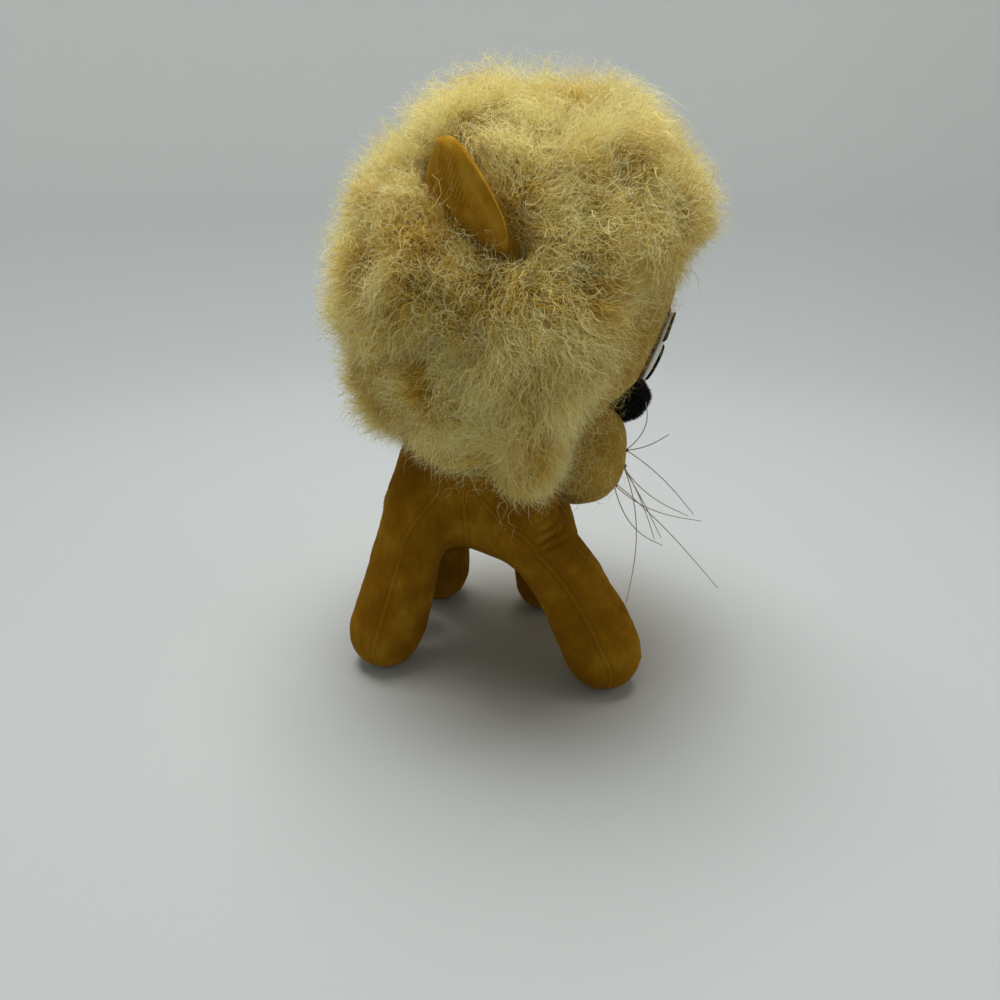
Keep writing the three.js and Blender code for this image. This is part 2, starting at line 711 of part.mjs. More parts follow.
function neckGroup() {
  const neck = new THREE.Group();
  const lowerDiscZ = washerLowZ + WASHER_THICKNESS + SEAT_GAP;
  neck.add(piece("neck_pin", makeNeckPin(), STEEL));
  neck.add(piece("lower_neck_disc", makeDisc(lowerDiscZ, NECK_Y), FIBREBOARD));
  neck.add(piece("lower_neck_washer", makeWasher(washerLowZ, NECK_Y), STEEL));
  return neck;
}

function headGroup() {
  const head = new THREE.Group();
  head.add(piece("head", makeHead(), FACE_VELVETEEN));
  head.add(piece("muzzle", makeMuzzle(), FACE_VELVETEEN));
  head.add(piece("nose", makeNose(), BLACK_FELT));
  head.add(piece("mane", makeMane(), PILE));
  head.add(piece("upper_neck_disc", makeDisc(upperDiscZ, 0), FIBREBOARD));
  head.add(piece("upper_neck_washer", makeWasher(upperWasherZ, 0), STEEL));
  for (const [hand, side] of HANDS) {
    head.add(piece(hand + "_ear_back", makeEarBack(side), VELVETEEN));
    head.add(piece(hand + "_ear_lining", makeEarLining(side), VELVETEEN));
    head.add(piece(hand + "_eye_rim", makeEyeRim(side), BROWN_FELT));
    head.add(piece(hand + "_eye_white", makeEyeWhite(side), WHITE_FELT));
    head.add(piece(hand + "_eyelid", makeEyelid(side), BROWN_FELT));
    head.add(piece(hand + "_pupil", makePupil(side), BLACK_FELT));
    for (const [place, tuft] of Object.entries(WHISKER_SHARES[hand])) {
      head.add(piece(hand + "_whiskers_" + place, makeWhiskers(side, tuft), NYLON));
    }
  }
  head.position.set(0, NECK_Y, 0);
  head.rotation.z = THREE.MathUtils.degToRad(HEAD_TURN_DEGREES);
  return head;
}

// The whole lion, moved so that the middle of its outline on the floor is the origin.
function lionGroup() {
  const lion = new THREE.Group();
  lion.add(bodyGroup(), neckGroup(), headGroup());
  lion.updateMatrixWorld(true);
  const outline = new THREE.Box3().setFromObject(lion, true);
  const middle = outline.getCenter(new THREE.Vector3());
  lion.position.set(-middle.x, -middle.y, 0);
  return lion;
}

const lion = lionGroup();
export default lion;
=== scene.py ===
"""A small plush lion with a turning head, a long-pile mane and velveteen legs."""
import json
import logging
import math
from dataclasses import dataclass, field
from enum import Enum

import bpy
import numpy as np
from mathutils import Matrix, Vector, kdtree
from mathutils.bvhtree import BVHTree


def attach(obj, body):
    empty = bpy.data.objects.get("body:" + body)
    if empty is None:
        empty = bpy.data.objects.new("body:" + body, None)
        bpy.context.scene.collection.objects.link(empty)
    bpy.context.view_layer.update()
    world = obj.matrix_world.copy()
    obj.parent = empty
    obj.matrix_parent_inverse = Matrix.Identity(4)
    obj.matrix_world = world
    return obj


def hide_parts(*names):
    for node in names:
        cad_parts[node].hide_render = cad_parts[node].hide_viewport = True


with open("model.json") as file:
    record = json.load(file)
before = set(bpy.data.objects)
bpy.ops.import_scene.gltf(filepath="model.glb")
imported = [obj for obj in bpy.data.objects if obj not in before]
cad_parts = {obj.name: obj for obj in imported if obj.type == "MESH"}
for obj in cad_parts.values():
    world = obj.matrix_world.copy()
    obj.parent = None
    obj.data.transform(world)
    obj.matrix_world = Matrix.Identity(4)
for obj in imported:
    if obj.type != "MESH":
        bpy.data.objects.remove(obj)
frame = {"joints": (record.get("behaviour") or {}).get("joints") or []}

LOG = logging.getLogger("plush_lion")
MM = 0.001
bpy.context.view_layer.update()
Array = np.ndarray
Mesh = tuple[Array, Array]
Pair = tuple[float, float]
Table = tuple[Pair, ...]
Triple = tuple[float, float, float]


class Hand(Enum):
    """The two sides of the lion, by the sign of their X."""

    RIGHT = -1
    LEFT = 1

    @property
    def word(self) -> str:
        """The side's name as the pieces use it."""
        return self.name.lower()

    @property
    def flip(self) -> "Array":
        """What carries a point of the left side over to this one."""
        return np.array([self.value, 1.0, 1.0])


class Body(Enum):
    """The moving bodies that a piece can ride on."""

    BODY = "body"
    TAIL = "tail"
    HEAD = "head"

    @property
    def place(self) -> "Place":
        """Where the body's own frame stands."""
        return HEAD_PLACE if self is Body.HEAD else BODY_PLACE


class Slot(Enum):
    """The record's material slots."""

    BODY_VELVETEEN = "body_velveteen"
    FACE_VELVETEEN = "face_velveteen"
    EAR_VELVETEEN = "ear_velveteen"
    PILE = "pile"
    NOSE_VELVET = "nose_velvet"
    BROWN_FELT = "brown_felt"
    WHITE_FELT = "white_felt"
    BLACK_FELT = "black_felt"
    WHISKER_NYLON = "whisker_nylon"


@dataclass(frozen=True)
class Place:
    """Where a sub-assembly's own millimetre frame stands in the row frame."""

    x: float
    y: float
    turn: float = 0.0

    def metres(self, own: Array) -> Array:
        """Points carried into the row frame.

        Args:
            own: points in the sub-assembly's frame, in millimetres.

        Returns:
            The points in the row frame, in metres.
        """
        angle = math.radians(self.turn)
        c, s = math.cos(angle), math.sin(angle)
        x, y, z = own[..., 0], own[..., 1], own[..., 2]
        turned = np.stack([c * x - s * y, s * x + c * y, z], axis=-1)
        return (turned + np.array([self.x, self.y, 0.0])) * MM


def joint_place(name: str) -> Array:
    """The place of a joint in the row frame.

    Args:
        name: the joint's name.

    Returns:
        Its point in millimetres.
    """
    found = next(joint for joint in frame["joints"] if joint["name"] == name)
    return np.array(found["pos_m"]) / MM


NECK = joint_place("head_turn")
NECK_Y = 2.0
HEAD_TURN = 22.0
BODY_PLACE = Place(NECK[0], NECK[1] - NECK_Y)
HEAD_PLACE = Place(NECK[0], NECK[1], HEAD_TURN)


def at(x: float, y: float, z: float) -> Array:
    """A point or direction as an array."""
    return np.array([x, y, z], dtype=float)


def unit(vectors: Array) -> Array:
    """Vectors scaled to a length of one.

    Args:
        vectors: one or more vectors along the last axis.

    Returns:
        The unit vectors.
    """
    length = np.linalg.norm(vectors, axis=-1, keepdims=True)
    return vectors / np.maximum(length, 1e-12)


def smooth_step(low: float, high: float, value: Array) -> Array:
    """A soft step from 0 to 1.

    Args:
        low: where the step starts.
        high: where it ends.
        value: what is stepped.

    Returns:
        The stepped values.
    """
    share = np.clip((value - low) / (high - low), 0.0, 1.0)
    return share * share * (3.0 - 2.0 * share)


class SoftNoise:
    """A smooth random field over space, from a sum of plane waves."""

    def __init__(self, seed: int, size: float, outputs: int = 1, waves: int = 28) -> None:
        """Draws the waves.

        Args:
            seed: the seed of the draw.
            size: the usual distance between humps, in millimetres.
            outputs: how many independent values the field has.
            waves: how many waves are summed.
        """
        rng = np.random.default_rng(seed)
        ways = unit(rng.normal(size=(outputs, waves, 3)))
        pitch = size * rng.uniform(0.7, 1.5, size=(outputs, waves, 1))
        self.ways = 2.0 * math.pi * ways / pitch
        self.phases = rng.uniform(0.0, 2.0 * math.pi, size=(outputs, waves))
        self.scale = math.sqrt(2.0 / waves)

    def __call__(self, points: Array) -> Array:
        """The field's values.

        Args:
            points: points in millimetres, one per row.

        Returns:
            One row per point, with a column for each output.
        """
        columns = [
            np.sin(points @ ways.T + phases).sum(axis=1)
            for ways, phases in zip(self.ways, self.phases)
        ]
        return np.stack(columns, axis=1) * self.scale


# Meshes


def mesh_object(name: str, points: Array, faces: Array) -> bpy.types.Object:
    """A mesh object from arrays.

    Args:
        name: the object's name.
        points: vertices in metres, in the row frame.
        faces: vertex numbers, one face per row, all with as many corners.

    Returns:
        The object, linked to the scene.
    """
    mesh = bpy.data.meshes.new(name)
    mesh.vertices.add(len(points))
    mesh.vertices.foreach_set("co", np.ascontiguousarray(points, dtype=np.float32).ravel())
    mesh.loops.add(faces.size)
    mesh.loops.foreach_set("vertex_index", np.ascontiguousarray(faces, dtype=np.int32).ravel())
    mesh.polygons.add(len(faces))
    starts = np.arange(0, faces.size, faces.shape[1], dtype=np.int32)
    mesh.polygons.foreach_set("loop_start", starts)
    mesh.polygons.foreach_set("use_smooth", np.full(len(faces), True))
    mesh.update(calc_edges=True)
    mesh.validate()
    made = bpy.data.objects.new(name, mesh)
    bpy.context.scene.collection.objects.link(made)
    return made


def joined(parts: list[Mesh]) -> Mesh:
    """Several meshes as one.

    Args:
        parts: points and faces of each mesh, with as many corners per face.

    Returns:
        The points and faces of them all.
    """
    points, faces, count = [], [], 0
    for own_points, own_faces in parts:
        points.append(own_points)
        faces.append(own_faces + count)
        count += len(own_points)
    return np.concatenate(points), np.concatenate(faces)


def ring_faces(rings: int, sides: int) -> Array:
    """The four-cornered faces between rings of points.

    Args:
        rings: how many rings there are.
        sides: how many points each ring has.

    Returns:
        One face per row.
    """
    i, j = np.meshgrid(np.arange(rings - 1), np.arange(sides), indexing="ij")
    k, m = i + 1, (j + 1) % sides
    corners = [i * sides + j, i * sides + m, k * sides + m, k * sides + j]
    return np.stack(corners, axis=-1).reshape(-1, 4)


def capped_rings(rings: Array) -> Mesh:
    """A closed skin over rings whose first and last ring have no size.

    Args:
        rings: an array of rings by sides by three.

    Returns:
        The points and four-cornered faces.
    """
    count, sides = rings.shape[:2]
    return rings.reshape(-1, 3), ring_faces(count, sides)


def oval_rings(middle: Triple | Array, half: Triple | Array, sides: int, rings: int,
               squareness: float = 2.0, below: float | None = None) -> Array:
    """Rings of points over a rounded body.

    Args:
        middle: its middle.
        half: its three half sizes.
        sides: points round each ring.
        rings: rings from the bottom to the top.
        squareness: 2 for an oval, more for fuller corners.
        below: the squareness under the middle.

    Returns:
        An array of rings by sides by three.
    """
    turn = np.linspace(0.0, 2.0 * math.pi, sides, endpoint=False)[None, :]
    climb = np.linspace(-math.pi / 2, math.pi / 2, rings)[:, None]
    power = np.where(climb < 0, below or squareness, squareness)

    def bend(value: Array, by: Array | float) -> Array:
        """A sine or cosine bent from round towards square."""
        return np.sign(value) * np.abs(value) ** (2.0 / by)

    level = bend(np.cos(climb).clip(1e-9), power)
    x = half[0] * level * bend(np.cos(turn), squareness)
    y = half[1] * level * bend(np.sin(turn), squareness)
    z = half[2] * bend(np.sin(climb), power) * np.ones_like(turn)
    return np.stack([x, y, z], axis=-1) + middle


def smooth_line(points: Array, count: int) -> Array:
    """A smooth line through points.

    Args:
        points: the points it passes.
        count: how many points the line gets.

    Returns:
        The points of the line.
    """
    padded = np.vstack([2 * points[0] - points[1], points, 2 * points[-1] - points[-2]])
    place = np.linspace(0.0, len(points) - 1 - 1e-9, count)
    k = place.astype(int)
    t = (place - k)[:, None]
    a, b, c, d = padded[k], padded[k + 1], padded[k + 2], padded[k + 3]
    cubic = (2 * a - 5 * b + 4 * c - d) * t**2 + (3 * b - a - 3 * c + d) * t**3
    return (2 * b + (c - a) * t + cubic) / 2


def line_frames(line: Array) -> tuple[Array, Array, Array]:
    """The directions along and across a line, without twist.

    Args:
        line: its points.

    Returns:
        The directions along it and two across it at each point.
    """
    along = unit(np.gradient(line, axis=0))
    side = np.zeros_like(line)
    start = np.cross(along[0], at(0, 0, 1))
    side[0] = unit(start if np.linalg.norm(start) > 1e-3 else np.cross(along[0], at(0, 1, 0)))
    for i in range(1, len(line)):
        side[i] = unit(side[i - 1] - along[i] * np.dot(side[i - 1], along[i]))
    return along, side, np.cross(along, side)


def limb_rings(line: Array, radii: Array, sides: int, caps: int) -> Array:
    """Rings over a limb with round ends.

    Args:
        line: the points of its middle.
        radii: its radius at each point.
        sides: points round each ring.
        caps: rings over each end.

    Returns:
        An array of rings by sides by three.
    """
    along, side, across = line_frames(line)
    turn = np.linspace(0.0, 2.0 * math.pi, sides, endpoint=False)
    lean = np.linspace(math.pi / 2, 0.0, caps + 1)[:-1]
    rows = [(0, math.cos(angle), -math.sin(angle)) for angle in lean]
    rows += [(i, 1.0, 0.0) for i in range(len(line))]
    rows += [(len(line) - 1, math.cos(angle), math.sin(angle)) for angle in lean[::-1]]
    cos, sin = np.cos(turn)[:, None], np.sin(turn)[:, None]
    return np.stack([line[i] + along[i] * shift * radii[i]
                     + radii[i] * share * (cos * side[i] + sin * across[i])
                     for i, share, shift in rows])


def taken_mesh(source: bpy.types.Object) -> Mesh:
    """An object's four-cornered mesh after its modifiers, while the object is removed.

    Args:
        source: the object.

    Returns:
        The points and faces.
    """
    graph = bpy.context.evaluated_depsgraph_get()
    mesh = bpy.data.meshes.new_from_object(source.evaluated_get(graph), depsgraph=graph)
    points = np.empty(len(mesh.vertices) * 3, np.float32)
    mesh.vertices.foreach_get("co", points)
    corners = np.empty(len(mesh.loops), np.int32)
    mesh.loops.foreach_get("vertex_index", corners)
    for used in (mesh, source.data):
        bpy.data.meshes.remove(used)
    return points.reshape(-1, 3).astype(float), corners.reshape(-1, 4)


def point_normals(points: Array, triangles: Array) -> Array:
    """The normal at each point of a mesh.

    Args:
        points: its points.
        triangles: its triangles.

    Returns:
        A unit normal for each point.
    """
    a, b, c = (points[triangles[:, i]] for i in range(3))
    face = np.cross(b - a, c - a)
    sums = np.zeros_like(points)
    for i in range(3):
        np.add.at(sums, triangles[:, i], face)
    return unit(sums)


def nearest(points: Array, centres: Array) -> tuple[Array, Array]:
    """The nearest centre to each point.

    Args:
        points: the points.
        centres: the centres.

    Returns:
        The row of the centre and the distance to it, for each point.
    """
    tree = kdtree.KDTree(len(centres))
    for row, centre in enumerate(centres):
        tree.insert(centre, row)
    tree.balance()
    found = [tree.find(point) for point in points]
    return np.array([item[1] for item in found]), np.array([item[2] for item in found])


def read_off(table: Table, place: Array, period: float | None = None) -> Array:
    """A table's values at places between its rows.

    Args:
        table: pairs of a place and a value.
        place: where to read.
        period: after what distance the table starts again.

    Returns:
        A value for each place.
    """
    places, values = zip(*table)
    return np.interp(place, places, values, period=period)


# Finishes


class ShaderTree:
    """A node tree that is being built."""

    def __init__(self, tree: bpy.types.NodeTree) -> None:
        """Keeps the tree."""
        self.tree = tree

    def feed(self, socket: bpy.types.NodeSocket, value: object) -> None:
        """Links an input to another node's socket, or sets it.

        Args:
            socket: the input.
            value: a socket, or the value to set.
        """
        if isinstance(value, bpy.types.NodeSocket):
            self.tree.links.new(value, socket)
        else:
            socket.default_value = value

    def add(self, kind: str, sockets: dict[str, object] | None = None,
            **settings: object) -> bpy.types.Node:
        """Adds a node.

        Args:
            kind: the node's type, without its ShaderNode prefix.
            sockets: values, or sockets of other nodes, for its named inputs.
            settings: values of the node's own settings.

        Returns:
            The node.
        """
        prefix = "" if kind.startswith("Node") else "ShaderNode"
        node = self.tree.nodes.new(prefix + kind)
        for name, value in settings.items():
            setattr(node, name, value)
        for name, value in (sockets or {}).items():
            self.feed(node.inputs[int(name) if name.isdigit() else name], value)
        return node

    def math(self, operation: str, first: object, second: object = 0.0) -> bpy.types.NodeSocket:
        """Adds a sum of two values.

        Args:
            operation: the sum's kind.
            first: a value or a socket.
            second: a value or a socket.

        Returns:
            The socket of its result.
        """
        return self.add("Math", {"0": first, "1": second}, operation=operation).outputs[0]

    def ramp(self, factor: object, stops: list[tuple[float, tuple]]) -> bpy.types.NodeSocket:
        """Adds a colour ramp.

        Args:
            factor: the socket that picks the colour.
            stops: places and colours along the ramp.

        Returns:
            The socket of its colour.
        """
        node = self.add("ValToRGB", {"Fac": factor})
        ramp = node.color_ramp
        while len(ramp.elements) < len(stops):
            ramp.elements.new(0.5)
        for element, (place, colour) in zip(ramp.elements, stops):
            element.position = place
            element.color = (*colour, 1.0)
        return node.outputs["Color"]

    def mix(self, factor: object, first: object, second: object,
            blend: str = "MIX") -> bpy.types.NodeSocket:
        """Adds a mix of two colours.

        Args:
            factor: how much of the second colour shows.
            first: a colour or a socket.
            second: a colour or a socket.
            blend: how they are mixed.

        Returns:
            The socket of its colour.
        """
        node = self.add("Mix", data_type="RGBA", blend_type=blend)
        for place, value in ((0, factor), (6, first), (7, second)):
            self.feed(node.inputs[place], value)
        return node.outputs[2]

    def blend(self, *parts: tuple[object, float]) -> bpy.types.NodeSocket:
        """Adds up values by their weights.

        Args:
            parts: each value or socket, with its weight.

        Returns:
            The socket of the sum.
        """
        total = 0.0
        for value, weight in parts:
            total = self.math("ADD", total, self.math("MULTIPLY", value, weight))
        return total

    def bump(self, strength: float, distance: float,
             height: bpy.types.NodeSocket) -> bpy.types.NodeSocket:
        """Adds a relief.

        Args:
            strength: how strongly it shows.
            distance: its depth in metres.
            height: the socket of its form.

        Returns:
            The socket of the bent normal.
        """
        sockets = {"Strength": strength, "Distance": distance, "Height": height}
        return self.add("Bump", sockets).outputs[0]

    def painted(self, mask: str, colour: object, other: Triple) -> bpy.types.NodeSocket:
        """Adds a second colour where a piece's own mask says so.

        Args:
            mask: the mask's name.
            colour: the colour or socket without it.
            other: the colour that the mask brings.

        Returns:
            The socket of the colour.
        """
        share = self.add("Attribute", attribute_name=mask).outputs["Fac"]
        return self.mix(share, colour, opaque(other))


def opaque(colour: Triple) -> tuple[float, float, float, float]:
    """A colour with its fourth value."""
    return (*colour, 1.0)


@dataclass(frozen=True)
class Finish:
    """A finish, whose material is made once."""

    name: str

    def surface(self, tree: ShaderTree) -> bpy.types.Node:
        """The last node of the finish's look."""
        raise NotImplementedError

    def material(self) -> bpy.types.Material:
        """The finish's material.

        Returns:
            The material, made at the first call.
        """
        found = bpy.data.materials.get(self.name)
        if found:
            return found
        made = bpy.data.materials.new(self.name)
        made.use_nodes = True
        made.node_tree.nodes.clear()
        tree = ShaderTree(made.node_tree)
        tree.add("OutputMaterial", {"Surface": self.surface(tree).outputs[0]})
        return made


def nap_group() -> bpy.types.NodeTree:
    """The uneven lie of short cloth fibres, which the cloth materials share.

    Returns:
        A node group with Cloud, Brushed and Grain masks.
    """
    found = bpy.data.node_groups.get("cloth_nap")
    if found:
        return found
    group = bpy.data.node_groups.new("cloth_nap", "ShaderNodeTree")
    face = group.interface
    for name, default in (("Cloud Size", 6.0), ("Grain Size", 0.22)):
        socket = face.new_socket(name=name, in_out="INPUT", socket_type="NodeSocketFloat")
        socket.default_value = default
    for name in ("Cloud", "Brushed", "Grain"):
        face.new_socket(name=name, in_out="OUTPUT", socket_type="NodeSocketFloat")
    tree = ShaderTree(group)
    given = tree.add("NodeGroupInput")
    made = tree.add("NodeGroupOutput")
    place = tree.add("TexCoord").outputs["Object"]

    def noise(vector: bpy.types.NodeSocket, size: bpy.types.NodeSocket, detail: float,
              roughness: float) -> bpy.types.NodeSocket:
        """A noise with humps of a size in millimetres."""
        scale = tree.math("DIVIDE", 1000.0, size)
        sockets = {"Vector": vector, "Scale": scale, "Detail": detail, "Roughness": roughness}
        return tree.add("TexNoise", sockets).outputs[0]

    cloud = noise(place, given.outputs["Cloud Size"], 3.0, 0.55)
    stretched = tree.add("Mapping", {"Vector": place, "Scale": (2.6, 2.6, 0.55)}).outputs[0]
    brushed_size = tree.math("MULTIPLY", given.outputs["Cloud Size"], 0.33)
    brushed = noise(stretched, brushed_size, 4.0, 0.6)
    grain = noise(place, given.outputs["Grain Size"], 2.0, 0.7)
    for name, value in (("Cloud", cloud), ("Brushed", brushed), ("Grain", grain)):
        tree.tree.links.new(value, made.inputs[name])
    return group


@dataclass(frozen=True)
class NappedCloth(Finish):
    """Velveteen, short plush or felt: a woven or pressed ground with a fine nap."""

    deep: Triple
    middle: Triple
    lit: Triple
    crease: Triple
    cloud_size: float = 11.0
    grain_size: float = 0.22
    roughness: float = 0.95
    sheen: float = 0.12
    sheen_tint: Triple = (0.75, 0.5, 0.1)
    relief: float = 0.09

    def surface(self, tree: ShaderTree) -> bpy.types.Node:
        """The cloth's look.

        Args:
            tree: the material's tree.

        Returns:
            Its last node.
        """
        nap = tree.add("Group", node_tree=nap_group())
        nap.inputs["Cloud Size"].default_value = self.cloud_size
        nap.inputs["Grain Size"].default_value = self.grain_size
        cloud, brushed, grain = (nap.outputs[name] for name in ("Cloud", "Brushed", "Grain"))
        shade = tree.blend((cloud, 0.55), (brushed, 0.15), (grain, 0.3))
        colour = tree.ramp(shade, [(0.4, self.deep), (0.5, self.middle), (0.61, self.lit)])
        # Painted shade along the seams, in the valleys of the folds and between the ribs of the
        # ears.
        colour = tree.painted("crease", colour, self.crease)
        # Painted highlight along the seams' ridges and raised lips, in the lit colour.
        colour = tree.painted("rubbed", colour, self.lit)
        height = tree.blend((grain, 0.6), (brushed, 0.4))
        return tree.add("BsdfPrincipled", {
            "Base Color": colour, "Roughness": self.roughness,
            "Normal": tree.bump(0.7, self.relief * MM, height),
            "Sheen Weight": self.sheen, "Sheen Roughness": 0.4,
            "Sheen Tint": opaque(self.sheen_tint), "Specular IOR Level": 0.02})


@dataclass(frozen=True)
class PileFibre(Finish):
    """The fibres of a long pile, coloured along each fibre and from fibre to fibre."""

    root: Triple
    middle: Triple
    tip: Triple
    shade: Triple
    roughness: float = 0.4
    glow: float = 0.36

    def surface(self, tree: ShaderTree) -> bpy.types.Node:
        """The fibre's look: V of its UV map runs from root to tip, and U is the tint.

        Args:
            tree: the material's tree.

        Returns:
            Its last node.
        """
        place = tree.add("UVMap", uv_map="OFBake").outputs[0]
        parts = tree.add("SeparateXYZ", {"Vector": place})
        # Darker towards the root: partly the fibres' own colour, partly painted shade in the depth
        # of the pile.
        along = tree.ramp(parts.outputs["Y"], [
            (0.05, self.root), (0.55, self.middle), (0.95, self.tip)])
        # The tint U carries painted light, paler where the mane faces the lamp and along its lower
        # fringe, besides the random tone from fibre to fibre.
        tinted = tree.mix(parts.outputs["X"], opaque(self.shade), (1.0, 1.0, 1.0, 1.0))
        faded = tree.ramp(parts.outputs["X"], [(0.68, (0.0, 0.0, 0.0)), (1.0, (0.75, 0.75, 0.75))])
        along = tree.mix(faded, along, opaque(self.tip))
        colour = tree.mix(1.0, along, tinted, "MULTIPLY")
        fibre = tree.add("BsdfPrincipled", {
            "Base Color": colour, "Roughness": self.roughness, "Specular IOR Level": 0.5,
            "Specular Tint": (1.0, 0.88, 0.5, 1.0)})
        through = tree.add("BsdfTranslucent", {"Color": colour})
        return tree.add("MixShader", {"0": self.glow, "1": fibre.outputs[0],
                                      "2": through.outputs[0]})


@dataclass(frozen=True)
class Hardware(Finish):
    """Nylon, pressed board or bare steel: a plain stuff with a faint grain."""

    dark: Triple
    light: Triple
    knot: Triple = (0.0, 0.0, 0.0)
    roughness: float = 0.35
    metallic: float = 0.0
    grain: float = 400.0
    detail: float = 2.0
    band: Pair = (0.3, 0.7)
    relief: float = 0.03
    strength: float = 0.3

    def surface(self, tree: ShaderTree) -> bpy.types.Node:
        """The stuff's look, with the darker knot colour where a piece's crease mask says so.

        Args:
            tree: the material's tree.

        Returns:
            Its last node.
        """
        place = tree.add("TexCoord").outputs["Object"]
        sockets = {"Vector": place, "Scale": self.grain, "Detail": self.detail}
        grain = tree.add("TexNoise", sockets).outputs[0]
        colour = tree.ramp(grain, list(zip(self.band, (self.dark, self.light))))
        return tree.add("BsdfPrincipled", {
            "Base Color": tree.painted("crease", colour, self.knot),
            "Roughness": self.roughness, "Metallic": self.metallic,
            "Normal": tree.bump(self.strength, self.relief * MM, grain)})


def piece(name: str, mesh: Mesh, finish: Finish, body: Body, slot: Slot, *nodes: str,
          masks: dict[str, Array] | None = None) -> bpy.types.Object:
    """A piece of the lion, with its finish, its body and what it stands for.

    Args:
        name: its name.
        mesh: its points in its body's own frame, in millimetres, and its faces.
        finish: its finish.
        body: the body it rides on.
        slot: the record's slot of its finish; not used.
        nodes: the CAD nodes that it stands for.
        masks: a value for each vertex, by the mask's name.

    Returns:
        The piece.
    """
    target = mesh_object(name, body.place.metres(mesh[0]), mesh[1])
    for mask, values in (masks or {}).items():
        attribute = target.data.attributes.new(mask, "FLOAT", "POINT")
        attribute.data.foreach_set("value", np.ascontiguousarray(values, dtype=np.float32))
    target.data.materials.append(finish.material())
    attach(target, body.value)
    if nodes:
        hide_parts(*nodes)
    LOG.info("%s: %d faces", target.name, len(target.data.polygons))
    return target


BODY_VELVETEEN = NappedCloth(
    "body_velveteen_cloth", deep=(0.180, 0.075, 0.003), middle=(0.225, 0.100, 0.0045),
    lit=(0.30, 0.152, 0.011), crease=(0.09, 0.036, 0.002))
EAR_VELVETEEN = NappedCloth(
    "ear_velveteen_cloth", deep=(0.29, 0.137, 0.007), middle=(0.35, 0.172, 0.011),
    lit=(0.43, 0.235, 0.024), crease=(0.12, 0.052, 0.003), cloud_size=5.0)
FACE_VELVETEEN = NappedCloth(
    "face_velveteen_cloth", deep=(0.29, 0.165, 0.021), middle=(0.345, 0.205, 0.031),
    lit=(0.42, 0.275, 0.06), crease=(0.11, 0.055, 0.008), sheen=0.3,
    sheen_tint=(0.9, 0.75, 0.4))
PILE_GROUND = NappedCloth(
    "pile_ground", deep=(0.34, 0.21, 0.026), middle=(0.44, 0.28, 0.038),
    lit=(0.52, 0.35, 0.055), crease=(0.16, 0.10, 0.014), sheen=0.0, relief=0.3)
NOSE_VELVET = NappedCloth(
    "nose_velvet_cloth", deep=(0.004, 0.004, 0.005), middle=(0.006, 0.006, 0.007),
    lit=(0.012, 0.012, 0.013), crease=(0.002, 0.002, 0.002), grain_size=0.5, sheen=0.0,
    relief=0.4)
BROWN_FELT = NappedCloth(
    "brown_felt_sheet", deep=(0.055, 0.026, 0.012), middle=(0.085, 0.043, 0.020),
    lit=(0.12, 0.065, 0.033), crease=(0.03, 0.015, 0.008), cloud_size=2.0, grain_size=0.3,
    sheen=0.1, sheen_tint=(0.6, 0.5, 0.4), relief=0.2)
WHITE_FELT = NappedCloth(
    "white_felt_sheet", deep=(0.62, 0.62, 0.57), middle=(0.72, 0.72, 0.67),
    lit=(0.80, 0.80, 0.76), crease=(0.4, 0.4, 0.37), cloud_size=2.0, grain_size=0.3,
    sheen=0.1, sheen_tint=(1.0, 1.0, 1.0), relief=0.2)
BLACK_FELT = NappedCloth(
    "black_felt_sheet", deep=(0.004, 0.004, 0.005), middle=(0.008, 0.008, 0.009),
    lit=(0.016, 0.016, 0.017), crease=(0.003, 0.003, 0.003), cloud_size=2.0,
    grain_size=0.3, sheen=0.03, sheen_tint=(0.5, 0.5, 0.5), relief=0.2)
MANE_PILE = PileFibre(
    "mane_pile", root=(0.64, 0.43, 0.035), middle=(0.96, 0.745, 0.098),
    tip=(0.99, 0.955, 0.56), shade=(0.62, 0.425, 0.055))
NOSE_PILE = PileFibre(
    "nose_pile", root=(0.004, 0.004, 0.005), middle=(0.008, 0.008, 0.009),
    tip=(0.016, 0.016, 0.018), shade=(0.6, 0.6, 0.6), roughness=0.7, glow=0.0)


WHISKER_NYLON = Hardware(
    "whisker_nylon_strand", dark=(0.35, 0.3325, 0.2485), light=(0.5, 0.475, 0.355),
    knot=(0.1, 0.065, 0.03))
FIBREBOARD = Hardware(
    "fibreboard_disc", dark=(0.13, 0.075, 0.035), light=(0.24, 0.15, 0.08), roughness=0.85,
    grain=900.0, detail=5.0, band=(0.35, 0.65), relief=0.05, strength=0.4)
NECK_STEEL = Hardware(
    "neck_steel_part", dark=(0.30, 0.30, 0.29), light=(0.45, 0.45, 0.44), roughness=0.38,
    metallic=1.0, grain=500.0, detail=5.0, band=(0.35, 0.65), relief=0.05, strength=0.4)


# Sewn skins


def modified(points: Array, quads: Array, kind: str, **settings: object) -> Mesh:
    """A mesh after one modifier that gives four-cornered faces.

    Args:
        points: its points in metres.
        quads: its faces.
        kind: the modifier's type.
        settings: the modifier's settings.

    Returns:
        The new points and faces.
    """
    carrier = mesh_object("skin_in_making", points, quads)
    modifier = carrier.modifiers.new("step", kind)
    for name, value in settings.items():
        setattr(modifier, name, value)
    return taken_mesh(carrier)


def split_quads(quads: Array) -> Array:
    """Four-cornered faces as triangles."""
    return np.concatenate([quads[:, [0, 1, 2]], quads[:, [0, 2, 3]]])


